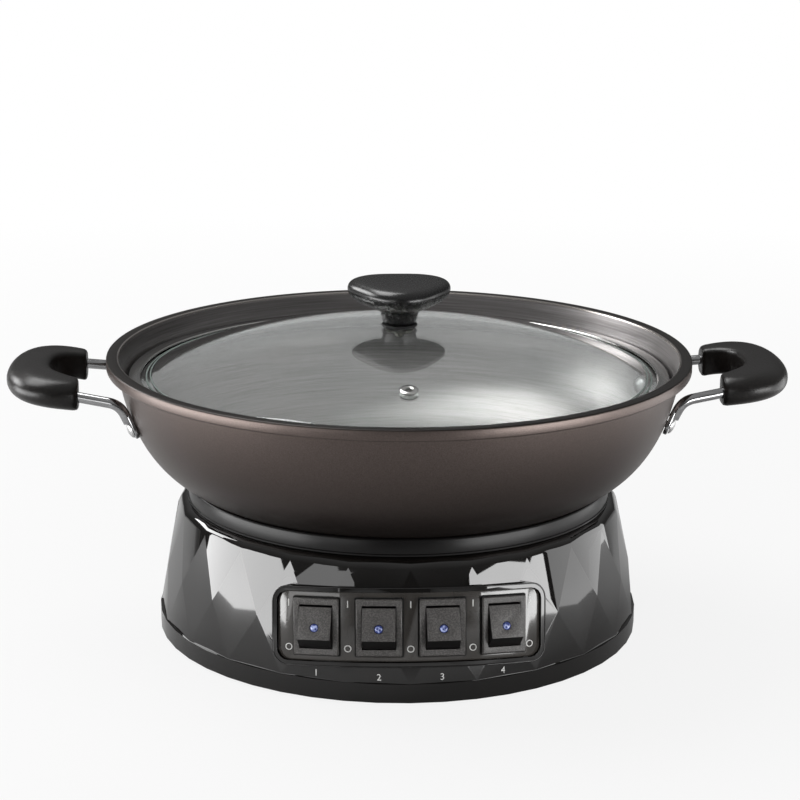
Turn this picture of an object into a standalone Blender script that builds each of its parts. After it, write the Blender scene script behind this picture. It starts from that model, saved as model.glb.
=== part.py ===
"""Electric skillet: a steel pan on a faceted base with four rocker switches, and a loose glass lid.

Metres, +Z up. The origin is on the pan's axis at table height, the switches face -Y, and the lid is on.
"""
import bmesh
import bpy
from math import asin, atan2, cos, pi, radians, sin, sqrt, tau
from mathutils import Matrix, Vector

# Clearances shared by all pieces
GAP = 0.0003
CUT_OVERRUN = 0.004
ROUND_STEPS = 48
MIDDLE_STEPS = 24
SMALL_STEPS = 10
EASED_ANGLE = radians(50)
SMOOTH_ANGLE = radians(35)

# Pan: a turned bowl with a flat bottom and a flat rolled rim
PAN_RIM_RADIUS = 0.170
PAN_DEPTH = 0.0854
PAN_RIM_THICKNESS = 0.0064
PAN_RIM_LEDGE = 0.0062
PAN_SINK = 0.001
PAN_FLAT_INSET = 0.0303
PAN_WALL = 0.003
PAN_RIM_EDGE = 0.0011
pan_curve_shares = ((0.474, 0.146), (0.859, 0.266))
PAN_CURVE_STEPS = 8

# Base shell: flat facets between a round foot band and a round shoulder
FACETS = 24
CHORD_POINTS = 1
BASE_RADIUS = 0.1414
BAND_PROUD = 0.0006
BAND_BOTTOM = 0.0012
BAND_TOP = 0.012
BASE_TAPER = 0.0114
facet_middle_share = 0.47
SHOULDER_INSET = 0.0057
SHOULDER_HEIGHT = 0.079
SHOULDER_RISE = 0.0055
BASE_WALL = 0.0026
DECK_LEDGE = 0.0048
shoulder_shares = ((0.2, 0.45), (0.55, 0.85))
POST_RADIUS = 0.0045
POST_INSET = 0.0016
POST_TOP_HEIGHT = 0.040
POST_ANGLES = (radians(18), radians(162), radians(198), radians(342))

# Collar ring that the pan stands in
COLLAR_WALL = 0.0026
COLLAR_EDGE = 0.0009
COLLAR_FOOT_SETBACK = 0.001
COLLAR_FOOT_THICKNESS = 0.0016

# Switch panel: a curved plate in a lipped recess, tilted with the facets behind it
PANEL_MARGIN = 0.01275
PANEL_BORDER = 0.0063
PANEL_CORNER = 0.009
PANEL_FLATTER_BY = 0.0436
panel_height_share = 0.504
PANEL_PROUD = 0.0011
PANEL_LIP = 0.0027
PANEL_RECESS = 0.0038
PANEL_PLATE = 0.002
PANEL_LEDGE = 0.0028
PANEL_BOSS_DEPTH = 0.014
PANEL_COLUMNS = 14
PANEL_CORNER_STEPS = 4

# Rocker switches, in a frame whose origin is the middle of the bezel's face
SWITCH_SPACING = 0.0094
SWITCH_COUNT = 4
BEZEL_WIDTH = 0.0252
BEZEL_TALL = 0.0314
BEZEL_THICKNESS = 0.0022
BEZEL_CHAMFER = 0.0006
SWITCH_BODY_DEPTH = 0.020
SWITCH_WALL = 0.0012
ROCKER_WIDTH = 0.0182
ROCKER_CLEARANCE = 0.0003
ROCKER_TILT = radians(16.5)
PIVOT_DEPTH = 0.005
ROCKER_FACE_LENGTH = 0.0179
ROCKER_FACE_HEIGHT = 0.008
ROCKER_END_HALF = 0.0115
ROCKER_UNDERSIDE = 0.003
rocker_waist_share = 0.8
SWITCH_MOUTH_HALF = 0.01205
SWITCH_MOUTH_LIP = 0.0008
TRUNNION_RADIUS = 0.0015
TRUNNION_LENGTH = 0.0007
TAB_WIDTH = 0.0063
TAB_THICKNESS = 0.0008
TAB_LENGTH = 0.007
TAB_PITCH = 0.013
LENS_RADIUS = 0.0023
LENS_OFFSET = 0.0024
LENS_DEPTH = 0.002
lens_dome_share = 0.45
LENS_DOME_STEPS = 3

# Handles: a bent rod with flattened ends, riveted to the pan, and a moulded grip
GRIP_STAND_OFF = 0.0175
GRIP_ARM_LENGTH = 0.0175
GRIP_REACH = 0.0222
GRIP_HALF_SPAN = 0.0483
GRIP_TAPER_REACH = 0.055
GRIP_HOLE_REACH = 0.0145
GRIP_HOLE_HALF = 0.0257
GRIP_DROP = 0.0119
GRIP_THICKNESS = 0.0175
GRIP_EDGE = 0.0058
GRIP_EDGE_SEGMENTS = 2
GRIP_ARC_STEPS = 9
GRIP_HOLE_STEPS = 6
GRIP_TAPER_STEPS = 2
ROD_RADIUS = 0.003
ROD_DROP = 0.0025
ROD_ARC_START = 0.0075
ROD_ARC_REACH = 0.0195
ROD_ARC_HALF = 0.0368
ROD_ARC_STEPS = 9
RIVET_SPREAD = 0.0415
RIVET_DROP = 0.0334
RIVET_SHANK_RADIUS = 0.002
RIVET_HEAD_RADIUS = 0.0048
RIVET_HEAD_HEIGHT = 0.0022
rivet_shoulder_share = 0.87
HANDLE_TAB_WIDTH = 0.012
HANDLE_TAB_THICKNESS = 0.0024
HANDLE_TAB_EDGE = 0.0008
HANDLE_TAB_BELOW = 0.0065
HANDLE_TAB_ABOVE = 0.012
ROD_START = 0.007
ROD_STANDOFF = 0.0004
ROD_LIFT = 0.0165
ROD_BEND = 0.009
ROD_BEND_STEPS = 3

# Lid: domed glass in a steel band, with a steam vent and a knob
LID_DROP = 0.0192
LID_BAND_HEIGHT = 0.0078
LID_BAND_WIDTH = 0.0072
LID_BAND_WALL = 0.0011
LID_BAND_BEVEL = 0.0005
GLASS_THICKNESS = 0.0038
GLASS_FLAT = 0.0079
GLASS_RISE = 0.028
GLASS_STEPS = 8
LID_SCREW_RADIUS = 0.0021
VENT_DISTANCE = 0.100
VENT_TUBE_RADIUS = 0.0036
VENT_FLANGE_RADIUS = 0.0052
VENT_FLANGE_THICKNESS = 0.0009
VENT_BORE_RADIUS = 0.0018
KNOB_RADIUS = 0.0295
KNOB_LOBES = 3
knob_lobe_share = 0.095
KNOB_HEAD_HEIGHT = 0.017
KNOB_EDGE = 0.0048
KNOB_EDGE_SEGMENTS = 3
KNOB_OUTLINE_STEPS = 30
KNOB_NECK_HEIGHT = 0.0085
KNOB_NECK_RADIUS = 0.0095
KNOB_NECK_TOP_RADIUS = 0.012
GASKET_RADIUS = 0.0105
GASKET_THICKNESS = 0.0014
WASHER_RADIUS = 0.0085
WASHER_THICKNESS = 0.0012
LID_SCREW_HEAD_RADIUS = 0.0042
LID_SCREW_HEAD_HEIGHT = 0.0026
LID_SCREW_GRIP = 0.011

# Heater under the pan
HEATER_DEPTH = 0.0083
heater_inner_share = 0.425
heater_middle_share = 0.64
heater_outer_share = 0.84
HEATER_SIDES = 6
SHIELD_WALL = 0.0011
SHIELD_INSET = 0.0012
STUD_RADIUS = 0.0022
STUD_INSET = 0.007
STUD_COUNT = 3
STUD_FIRST_ANGLE = radians(90)
STUD_TAIL = 0.0046
NUT_RADIUS = 0.0042
NUT_HEIGHT = 0.0032
NUT_SIDES = 6
THERMOSTAT_RADIUS = 0.0095
THERMOSTAT_CAP_RADIUS = 0.0065
THERMOSTAT_CAP_HEIGHT = 0.003
FUSE_RADIUS = 0.0026
FUSE_LENGTH = 0.016
FUSE_DISTANCE = 0.050
FUSE_PIN_RADIUS = 0.0007
FUSE_PIN_LENGTH = 0.006

# Floor, feet and fasteners
FLOOR_HEIGHT = 0.006
FLOOR_THICKNESS = 0.002
FOOT_RADIUS = 0.009
FOOT_TAPER = 0.001
FOOT_STEM_RADIUS = 0.003
FOOT_CAP_RADIUS = 0.0044
FOOT_CAP_HEIGHT = 0.002
FOOT_INSET = 0.0248
FOOT_ANGLES = (radians(45), radians(135), radians(225), radians(315))
COVER_SCREW_RADIUS = 0.0015
COVER_SCREW_LENGTH = 0.012
COVER_SCREW_HEAD_RADIUS = 0.0033
COVER_SCREW_HEAD_HEIGHT = 0.0022
VENT_SLOT_RADIUS = 0.0025
VENT_SLOT_CIRCLE_RADIUS = 0.045
VENT_SLOT_COUNT = 6

# Appliance inlet at the back
INLET_HEIGHT = 0.032
INLET_SETBACK = 0.0010
INLET_BOSS_WIDTH = 0.040
INLET_BOSS_TALL = 0.034
INLET_FLANGE_WIDTH = 0.0320
INLET_FLANGE_TALL = 0.0246
INLET_FLANGE_THICKNESS = 0.0018
INLET_SOCKET_WIDTH = 0.0244
INLET_SOCKET_TALL = 0.0169
INLET_SOCKET_DEPTH = 0.0150
INLET_WALL = 0.0013
INLET_CORNER = 0.0030
INLET_PIN_WIDTH = 0.0020
INLET_PIN_TALL = 0.0040
INLET_PIN_SPREAD = 0.0070
INLET_EARTH_RISE = 0.0025
INLET_PIN_DROP = 0.0020
INLET_PIN_SHORT = 0.0040
INLET_PIN_TAIL = 0.0090
INLET_PIN_EDGE = 0.0003
TERMINAL_SETBACK = 0.012
TERMINAL_WIDTH = 0.034
TERMINAL_DEPTH = 0.016
TERMINAL_TALL = 0.015
TERMINAL_BORE_RADIUS = 0.0019
TERMINAL_EDGE = 0.001
LEAD_RADIUS = 0.0014
LEAD_STEPS = 8

# Sizes worked out from the ones above
INLET_FACE_Y = BASE_RADIUS - INLET_SETBACK
DECK = SHOULDER_HEIGHT
FACET_TOP_HEIGHT = SHOULDER_HEIGHT - SHOULDER_RISE
FACET_TOP_RADIUS = BASE_RADIUS - BASE_TAPER
SHOULDER_RADIUS = FACET_TOP_RADIUS - SHOULDER_INSET
DECK_HOLE_RADIUS = SHOULDER_RADIUS - DECK_LEDGE
COLLAR_FOOT_RADIUS = DECK_HOLE_RADIUS + COLLAR_FOOT_SETBACK
PAN_BOTTOM_HEIGHT = SHOULDER_HEIGHT - PAN_SINK
PAN_FLAT_RADIUS = SHOULDER_RADIUS - PAN_FLAT_INSET
PAN_RIM_HEIGHT = PAN_BOTTOM_HEIGHT + PAN_DEPTH
PAN_WALL_RADIUS = PAN_RIM_RADIUS - PAN_RIM_LEDGE
RIVET_HEIGHT = PAN_RIM_HEIGHT - RIVET_DROP
GRIP_ARM_X = PAN_RIM_RADIUS + GRIP_STAND_OFF
GRIP_WIDEST_X = GRIP_ARM_X + GRIP_ARM_LENGTH
GRIP_HEIGHT = PAN_RIM_HEIGHT - GRIP_DROP
ROD_HEIGHT = GRIP_HEIGHT - ROD_DROP
ROD_ARC_X = GRIP_ARM_X + ROD_ARC_START
STUD_CIRCLE_RADIUS = PAN_FLAT_RADIUS - STUD_INSET
TERMINAL_DISTANCE = STUD_CIRCLE_RADIUS - TERMINAL_SETBACK
FLOOR_TOP = FLOOR_HEIGHT + FLOOR_THICKNESS
CORNER_RADIUS = BASE_RADIUS - BAND_PROUD
HALF_FACET = pi / FACETS
FACET_SLOPE = atan2(CORNER_RADIUS - FACET_TOP_RADIUS, FACET_TOP_HEIGHT - BAND_TOP)
FOOT_CIRCLE_RADIUS = CORNER_RADIUS - FOOT_INSET
post_rise_share = (POST_TOP_HEIGHT - BAND_TOP) / (FACET_TOP_HEIGHT - BAND_TOP)
FLAT_AT_POST = (CORNER_RADIUS + (FACET_TOP_RADIUS - CORNER_RADIUS) * post_rise_share) * cos(HALF_FACET)
POST_CIRCLE_RADIUS = FLAT_AT_POST - BASE_WALL / cos(FACET_SLOPE) - POST_INSET
PANEL_CURVE_RADIUS = BASE_RADIUS + PANEL_FLATTER_BY
PANEL_HEIGHT = BAND_TOP + (FACET_TOP_HEIGHT - BAND_TOP) * panel_height_share
SWITCH_PITCH = BEZEL_WIDTH + SWITCH_SPACING
PANEL_WIDTH = SWITCH_PITCH * (SWITCH_COUNT - 1) + BEZEL_WIDTH + 2 * PANEL_MARGIN
PANEL_TALL = BEZEL_TALL + 2 * PANEL_BORDER
PITCH_ANGLE = SWITCH_PITCH / PANEL_CURVE_RADIUS
PLATE_BACK_RADIUS = PANEL_CURVE_RADIUS - PANEL_RECESS + GAP
PLATE_FRONT_RADIUS = PLATE_BACK_RADIUS + PANEL_PLATE
BEZEL_FACE_RADIUS = PLATE_FRONT_RADIUS + GAP + BEZEL_THICKNESS
SWITCH_HALF_WIDTH = ROCKER_WIDTH / 2 + ROCKER_CLEARANCE + SWITCH_WALL
ROCKER_END_RADIUS = sqrt(ROCKER_END_HALF ** 2 + PIVOT_DEPTH ** 2)
SWITCH_CHAMBER_HALF = ROCKER_END_RADIUS + ROCKER_CLEARANCE
SWITCH_HALF_TALL = SWITCH_CHAMBER_HALF + SWITCH_WALL
HEATER_TOP = PAN_BOTTOM_HEIGHT - GAP
HEATER_BOTTOM = HEATER_TOP - HEATER_DEPTH + GAP
SHIELD_FLOOR = HEATER_BOTTOM - GAP


def clear_scene():
    """Remove every object that the file already holds."""
    for thing in list(bpy.data.objects):
        bpy.data.objects.remove(thing, do_unlink=True)


def finish(name, colour, roughness, metallic=0.0, alpha=1.0):
    """Make a Principled material from an sRGB hex colour."""
    linear = []
    for start in (0, 2, 4):
        value = int(colour[start:start + 2], 16) / 255
        linear.append(value / 12.92 if value <= 0.04045 else ((value + 0.055) / 1.055) ** 2.4)
    made = bpy.data.materials.new(name)
    made.use_nodes = True
    shader = made.node_tree.nodes["Principled BSDF"]
    shader.inputs["Base Color"].default_value = (*linear, 1.0)
    shader.inputs["Roughness"].default_value = roughness
    shader.inputs["Metallic"].default_value = metallic
    shader.inputs["Alpha"].default_value = alpha
    return made


def mesh_from(bm):
    """Turn a bmesh into a mesh with its faces pointing outwards."""
    bmesh.ops.recalc_face_normals(bm, faces=bm.faces[:])
    mesh = bpy.data.meshes.new("mesh")
    bm.to_mesh(mesh)
    bm.free()
    return mesh


def place(name, mesh, material, matrix=None, smooth=True):
    """Add a named object for one sub-part."""
    thing = bpy.data.objects.new(name, mesh)
    bpy.context.collection.objects.link(thing)
    mesh.materials.clear()
    mesh.materials.append(material)
    if smooth:
        mesh.shade_smooth()
        mesh.set_sharp_from_angle(angle=SMOOTH_ANGLE)
    if matrix is not None:
        thing.matrix_world = matrix
    return thing


def turned(profile, steps=ROUND_STEPS):
    """Spin a profile of (radius, height) points round Z; one that starts and ends at radius 0 is solid."""
    bm = bmesh.new()
    points = [bm.verts.new((radius, 0, height)) for radius, height in profile]
    edges = [bm.edges.new(pair) for pair in zip(points, points[1:])]
    if profile[0][0] > 0:
        edges.append(bm.edges.new((points[-1], points[0])))
    bmesh.ops.spin(bm, geom=points + edges, cent=(0, 0, 0), axis=(0, 0, 1), angle=tau, steps=steps,
                   use_merge=True)
    bmesh.ops.remove_doubles(bm, verts=bm.verts[:], dist=GAP / 100)
    return mesh_from(bm)


def cylinder(radius, low, high, steps=SMALL_STEPS):
    """Make an upright solid cylinder between two heights."""
    return turned([(0, low), (radius, low), (radius, high), (0, high)], steps)


def block(low, high):
    """Make a box from its lowest and highest corners."""
    bm = bmesh.new()
    bmesh.ops.create_cube(bm, size=1)
    middle = (Vector(low) + Vector(high)) / 2
    span = Vector(high) - Vector(low)
    matrix = Matrix.Translation(middle) @ Matrix.Diagonal((*span, 1))
    bmesh.ops.transform(bm, matrix=matrix, verts=bm.verts[:])
    return mesh_from(bm)


def extruded(outline, low, high):
    """Extrude a closed outline of (x, y) points between two heights."""
    bm = bmesh.new()
    face = bm.faces.new([bm.verts.new((x, y, low)) for x, y in outline])
    top = bmesh.ops.extrude_face_region(bm, geom=[face])["geom"]
    lifted = [part for part in top if isinstance(part, bmesh.types.BMVert)]
    bmesh.ops.translate(bm, vec=(0, 0, high - low), verts=lifted)
    return mesh_from(bm)


def moved(mesh, matrix):
    """Give back a copy of a mesh put through a matrix."""
    copy = mesh.copy()
    copy.transform(matrix)
    return copy


def gathered(meshes):
    """Put separate closed meshes into one, to cut or join them in one go."""
    bm = bmesh.new()
    for mesh in meshes:
        bm.from_mesh(mesh)
    return mesh_from(bm)


def evaluated(mesh, steps):
    """Apply a chain of modifiers to a mesh: each step is a kind, its settings and an optional operand."""
    scene = bpy.context.collection
    body = bpy.data.objects.new("body", mesh)
    scene.objects.link(body)
    helpers = []
    for kind, settings, operand in steps:
        modifier = body.modifiers.new(kind.lower(), kind)
        for key, value in settings.items():
            setattr(modifier, key, value)
        if operand is not None:
            helper = bpy.data.objects.new("cutter", operand)
            helper.hide_render = True
            helper.display_type = "WIRE"
            scene.objects.link(helper)
            helpers.append(helper)
            modifier.object = helper
    graph = bpy.context.evaluated_depsgraph_get()
    result = bpy.data.meshes.new_from_object(body.evaluated_get(graph))
    for helper in helpers + [body]:
        bpy.data.objects.remove(helper, do_unlink=True)
    return result


def cut(mesh, *cutters):
    """Take cutters out of a mesh."""
    return evaluated(mesh, [("BOOLEAN", {"operation": "DIFFERENCE", "solver": "EXACT"}, cutter)
                            for cutter in cutters])


def joined(mesh, *others):
    """Fuse meshes into one closed body."""
    return evaluated(mesh, [("BOOLEAN", {"operation": "UNION", "solver": "EXACT"}, other)
                            for other in others])


def eased(mesh, width, segments=1, angle=EASED_ANGLE):
    """Bevel every edge sharper than an angle."""
    return evaluated(mesh, [("BEVEL", {"width": width, "segments": segments, "limit_method": "ANGLE",
                                       "angle_limit": angle}, None)])


def tube(points, radius, resolution=2):
    """Sweep a round tube along points, with filled ends."""
    curve = bpy.data.curves.new("path", "CURVE")
    curve.dimensions = "3D"
    curve.bevel_depth = radius
    curve.bevel_resolution = resolution
    curve.use_fill_caps = True
    line = curve.splines.new("POLY")
    line.points.add(len(points) - 1)
    for place_in_line, point in zip(line.points, points):
        place_in_line.co = (*point, 1)
    holder = bpy.data.objects.new("path", curve)
    bpy.context.collection.objects.link(holder)
    graph = bpy.context.evaluated_depsgraph_get()
    mesh = bpy.data.meshes.new_from_object(holder.evaluated_get(graph))
    bpy.data.objects.remove(holder, do_unlink=True)
    bm = bmesh.new()
    bm.from_mesh(mesh)
    bmesh.ops.remove_doubles(bm, verts=bm.verts[:], dist=GAP / 100)
    return mesh_from(bm)


def turn_z(angle):
    """Rotation about Z."""
    return Matrix.Rotation(angle, 4, "Z")


def spoke(angle, distance):
    """Frame at a distance from the origin along a turn about Z."""
    return turn_z(angle) @ Matrix.Translation((distance, 0, 0))


def rounded_corner(before, corner, after, setback, steps):
    """Points of a quadratic curve that replaces a corner."""
    first = corner + (before - corner).normalized() * setback
    last = corner + (after - corner).normalized() * setback
    points = []
    for step in range(steps + 1):
        t = step / steps
        points.append(first * (1 - t) ** 2 + corner * 2 * t * (1 - t) + last * t ** 2)
    return points


def pan_wall_points():
    """Outer wall of the pan from its flat bottom to the rim, as (radius, height) points on one curve."""
    rise = PAN_RIM_HEIGHT - PAN_RIM_THICKNESS - PAN_BOTTOM_HEIGHT
    reach = PAN_WALL_RADIUS - PAN_FLAT_RADIUS
    ends = [(0, 0), *pan_curve_shares, (1, 1)]
    knots = [Vector((PAN_FLAT_RADIUS + across * reach, PAN_BOTTOM_HEIGHT + up * rise)) for across, up in ends]
    points = []
    for step in range(PAN_CURVE_STEPS + 1):
        t = step / PAN_CURVE_STEPS
        weights = ((1 - t) ** 3, 3 * t * (1 - t) ** 2, 3 * t ** 2 * (1 - t), t ** 3)
        points.append(sum((knot * weight for knot, weight in zip(knots, weights)), Vector((0, 0))))
    return points


def inner_wall_points(outer):
    """The same wall moved inwards by the pan's thickness."""
    inner = []
    for index, point in enumerate(outer):
        before = outer[max(index - 1, 0)]
        after = outer[min(index + 1, len(outer) - 1)]
        along = (after - before).normalized()
        inner.append(point + Vector((-along.y, along.x)) * PAN_WALL)
    return inner


def crossing(points, value, known, wanted):
    """Read a coordinate of a rising line of points where the other coordinate has a given value."""
    for before, after in zip(points, points[1:]):
        if before[known] <= value <= after[known]:
            share = (value - before[known]) / (after[known] - before[known])
            return before[wanted] + (after[wanted] - before[wanted]) * share
    return points[-1][wanted]


def wall_frame(side, arm):
    """Frame on the pan's outer wall at a rivet: X along the wall, Y up the wall, Z out of it."""
    outer = pan_wall_points()
    radius = crossing(outer, RIVET_HEIGHT, 1, 0)
    above = crossing(outer, RIVET_HEIGHT + RIVET_HEAD_RADIUS, 1, 0)
    below = crossing(outer, RIVET_HEIGHT - RIVET_HEAD_RADIUS, 1, 0)
    lean = atan2(above - below, 2 * RIVET_HEAD_RADIUS)
    azimuth = asin(RIVET_SPREAD / radius)
    outward = Vector((cos(lean), 0, -sin(lean)))
    upward = Vector((sin(lean), 0, cos(lean)))
    along = upward.cross(outward)
    frame = Matrix((along, upward, outward)).transposed().to_4x4()
    frame.translation = Vector((radius, 0, RIVET_HEIGHT))
    return turn_z(arm * azimuth + (0 if side > 0 else pi)) @ frame


def make_pan(metal):
    """Pan: one turned shell with a rivet hole for each handle tab."""
    outer = pan_wall_points()
    inner = inner_wall_points(outer)
    rim_low = PAN_RIM_HEIGHT - PAN_RIM_THICKNESS
    lip = PAN_WALL_RADIUS
    profile = [(0, PAN_BOTTOM_HEIGHT)] + [tuple(point) for point in outer]
    profile += [(PAN_RIM_RADIUS - PAN_RIM_EDGE, rim_low), (PAN_RIM_RADIUS, rim_low + PAN_RIM_EDGE),
                (PAN_RIM_RADIUS, PAN_RIM_HEIGHT - PAN_RIM_EDGE),
                (PAN_RIM_RADIUS - PAN_RIM_EDGE, PAN_RIM_HEIGHT), (lip, PAN_RIM_HEIGHT),
                (lip - PAN_RIM_EDGE, PAN_RIM_HEIGHT - PAN_RIM_EDGE)]
    profile += [tuple(point) for point in reversed(inner[:-1])] + [(0, PAN_BOTTOM_HEIGHT + PAN_WALL)]
    holes = []
    for side in (1, -1):
        for arm in (1, -1):
            hole = cylinder(RIVET_SHANK_RADIUS + GAP, -PAN_WALL - CUT_OVERRUN, CUT_OVERRUN)
            holes.append(moved(hole, wall_frame(side, arm)))
    place("wok_bowl", cut(turned(profile), gathered(holes)), metal)


def facet_block():
    """Closed body of the base: foot band, flat facets and round shoulder."""
    bm = bmesh.new()
    steps = FACETS * (CHORD_POINTS + 1)
    start = -pi / 2
    middle_height = FACET_TOP_HEIGHT + (BAND_TOP - FACET_TOP_HEIGHT) * (1 - facet_middle_share)
    middle_radius = (FACET_TOP_RADIUS + (CORNER_RADIUS - FACET_TOP_RADIUS) * (1 - facet_middle_share))
    middle_radius /= cos(HALF_FACET)

    def ring(radius_at, height_at, count, shift=0.0):
        """Make a ring of vertices; radius and height may change with the step."""
        made = []
        for step in range(count):
            angle = start + shift + tau * step / count
            made.append(bm.verts.new((radius_at(step) * cos(angle), radius_at(step) * sin(angle),
                                      height_at)))
        return made

    def chord_radius(step):
        """Radius of the straight edge between two top corners at a step."""
        half = FACET_TOP_RADIUS * sin(HALF_FACET)
        share = (step % (CHORD_POINTS + 1)) / (CHORD_POINTS + 1)
        return sqrt((FACET_TOP_RADIUS * cos(HALF_FACET)) ** 2 + (half * (2 * share - 1)) ** 2)

    foot = ring(lambda step: BASE_RADIUS, BAND_BOTTOM, steps)
    band = ring(lambda step: BASE_RADIUS, BAND_TOP, steps)
    low = ring(lambda step: CORNER_RADIUS, BAND_TOP, FACETS)
    middle = ring(lambda step: middle_radius, middle_height, FACETS, HALF_FACET)
    top = ring(chord_radius, FACET_TOP_HEIGHT, steps)
    rounds = []
    for across, up in shoulder_shares:
        def blend(step, across=across):
            """Radius part of the way from the chords to the round shoulder."""
            return chord_radius(step) + (SHOULDER_RADIUS - chord_radius(step)) * across
        rounds.append(ring(blend, FACET_TOP_HEIGHT + (DECK - FACET_TOP_HEIGHT) * up, steps))
    rounds.append(ring(lambda step: SHOULDER_RADIUS, DECK, steps))

    per_facet = CHORD_POINTS + 1
    for lower, upper in [(foot, band)] + list(zip([top] + rounds, rounds)):
        for step in range(steps):
            after = (step + 1) % steps
            bm.faces.new((lower[step], lower[after], upper[after], upper[step]))
    for facet in range(FACETS):
        after = (facet + 1) % FACETS
        span = [(facet * per_facet + step) % steps for step in range(per_facet + 1)]
        bm.faces.new([low[after], low[facet]] + [band[step] for step in span])
        bm.faces.new([middle[facet]] + [top[step] for step in reversed(span)])
        bm.faces.new((low[facet], low[after], middle[facet]))
        bm.faces.new((low[facet], middle[facet], top[facet * per_facet], middle[facet - 1]))
    bm.faces.new(foot)
    bm.faces.new(rounds[-1])
    return mesh_from(bm)


def panel_frame():
    """Frame whose Z axis is the axis of the panel's curve, tilted with the facets."""
    share = (PANEL_HEIGHT - BAND_TOP) / (FACET_TOP_HEIGHT - BAND_TOP)
    front = CORNER_RADIUS + (FACET_TOP_RADIUS - CORNER_RADIUS) * share + PANEL_PROUD
    return (Matrix.Translation((0, -front, PANEL_HEIGHT)) @ Matrix.Rotation(-FACET_SLOPE, 4, "X")
            @ Matrix.Translation((0, PANEL_CURVE_RADIUS, 0)))


def switch_frame(index):
    """Frame of one switch: origin at the middle of its bezel, X along the panel, -Y out of it."""
    angle = (index - (SWITCH_COUNT - 1) / 2) * PITCH_ANGLE
    return panel_frame() @ turn_z(angle) @ Matrix.Translation((0, -BEZEL_FACE_RADIUS, 0))


def curved_slab(width, tall, corner, inner, outer):
    """Rounded rectangle bent round the panel's axis, from an inner to an outer radius."""
    bm = bmesh.new()
    columns = []
    for step in range(PANEL_CORNER_STEPS + 1):
        turn = pi / 2 * step / PANEL_CORNER_STEPS
        columns.append((-width / 2 + corner * (1 - cos(turn)), tall / 2 - corner * (1 - sin(turn))))
    flat = width - 2 * corner
    for step in range(1, PANEL_COLUMNS):
        columns.append((-flat / 2 + flat * step / PANEL_COLUMNS, tall / 2))
    columns += [(-across, half) for across, half in reversed(columns[:PANEL_CORNER_STEPS + 1])]
    sections = []
    for across, half in columns:
        angle = across / PANEL_CURVE_RADIUS
        section = [(outer, half), (outer, -half), (inner, -half), (inner, half)]
        sections.append([bm.verts.new((radius * sin(angle), -radius * cos(angle), height))
                         for radius, height in section])
    for here, there in zip(sections, sections[1:]):
        for index in range(4):
            after = (index + 1) % 4
            bm.faces.new((here[index], here[after], there[after], there[index]))
    bm.faces.new(sections[0])
    bm.faces.new(reversed(sections[-1]))
    return mesh_from(bm)


def make_base(black, dark):
    """Base shell with its panel boss, screw posts and inlet boss, and the collar ring on top."""
    frame = panel_frame()
    boss = curved_slab(PANEL_WIDTH, PANEL_TALL, PANEL_CORNER, PANEL_CURVE_RADIUS - PANEL_BOSS_DEPTH,
                       PANEL_CURVE_RADIUS)
    boss_low, boss_high = INLET_HEIGHT - INLET_BOSS_TALL / 2, INLET_HEIGHT + INLET_BOSS_TALL / 2
    inlet_boss = block((-INLET_BOSS_WIDTH / 2, FACET_TOP_RADIUS - BASE_WALL, boss_low),
                       (INLET_BOSS_WIDTH / 2, INLET_FACE_Y, boss_high))
    flat = cos(HALF_FACET)
    wall = BASE_WALL / cos(FACET_SLOPE)
    below, above = BAND_BOTTOM - CUT_OVERRUN, DECK + CUT_OVERRUN
    room = CORNER_RADIUS * flat - wall
    cavity = turned([(0, below), (room, below), (room, BAND_TOP),
                     (FACET_TOP_RADIUS * flat - wall, FACET_TOP_HEIGHT), (DECK_HOLE_RADIUS, DECK - BASE_WALL),
                     (DECK_HOLE_RADIUS, above), (0, above)])
    posts, bores = [], []
    for angle in POST_ANGLES:
        spot = spoke(angle, POST_CIRCLE_RADIUS)
        posts.append(moved(cylinder(POST_RADIUS, FLOOR_TOP + GAP, POST_TOP_HEIGHT), spot))
        bores.append(moved(cylinder(COVER_SCREW_RADIUS + GAP, FLOOR_HEIGHT,
                                    FLOOR_HEIGHT + COVER_SCREW_LENGTH + GAP), spot))
    inside = 2 * (PANEL_LIP + PANEL_LEDGE)
    front = PANEL_CURVE_RADIUS + CUT_OVERRUN
    recess = curved_slab(PANEL_WIDTH - 2 * PANEL_LIP, PANEL_TALL - 2 * PANEL_LIP, PANEL_CORNER - PANEL_LIP,
                         PANEL_CURVE_RADIUS - PANEL_RECESS, front)
    window = curved_slab(PANEL_WIDTH - inside, PANEL_TALL - inside, PANEL_LEDGE,
                         PANEL_CURVE_RADIUS - PANEL_BOSS_DEPTH - CUT_OVERRUN, front)
    half_width = INLET_SOCKET_WIDTH / 2 + INLET_WALL + GAP
    half_tall = INLET_SOCKET_TALL / 2 + INLET_WALL + GAP
    deep = INLET_FACE_Y - INLET_SOCKET_DEPTH - CUT_OVERRUN
    inlet_hole = block((-half_width, deep, INLET_HEIGHT - half_tall),
                       (half_width, INLET_FACE_Y + CUT_OVERRUN, INLET_HEIGHT + half_tall))
    shell = joined(facet_block(), moved(boss, frame), inlet_boss)
    shell = joined(cut(shell, cavity), gathered(posts))
    shell = cut(shell, inlet_hole, gathered(bores))
    shell = cut(shell, moved(window, frame), moved(recess, frame))
    place("base_shell", shell, black, smooth=False)

    seat = SHOULDER_RADIUS - COLLAR_WALL
    top = crossing(pan_wall_points(), seat, 0, 1) - GAP
    foot = DECK + GAP
    ledge = foot + COLLAR_FOOT_THICKNESS
    outer = SHOULDER_RADIUS
    collar = turned([(COLLAR_FOOT_RADIUS, foot), (outer, foot), (outer, top - COLLAR_EDGE),
                     (outer - COLLAR_EDGE, top), (seat + GAP, top), (seat, top - GAP),
                     (seat, ledge), (COLLAR_FOOT_RADIUS, ledge)])
    place("collar_ring", collar, dark)


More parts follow.
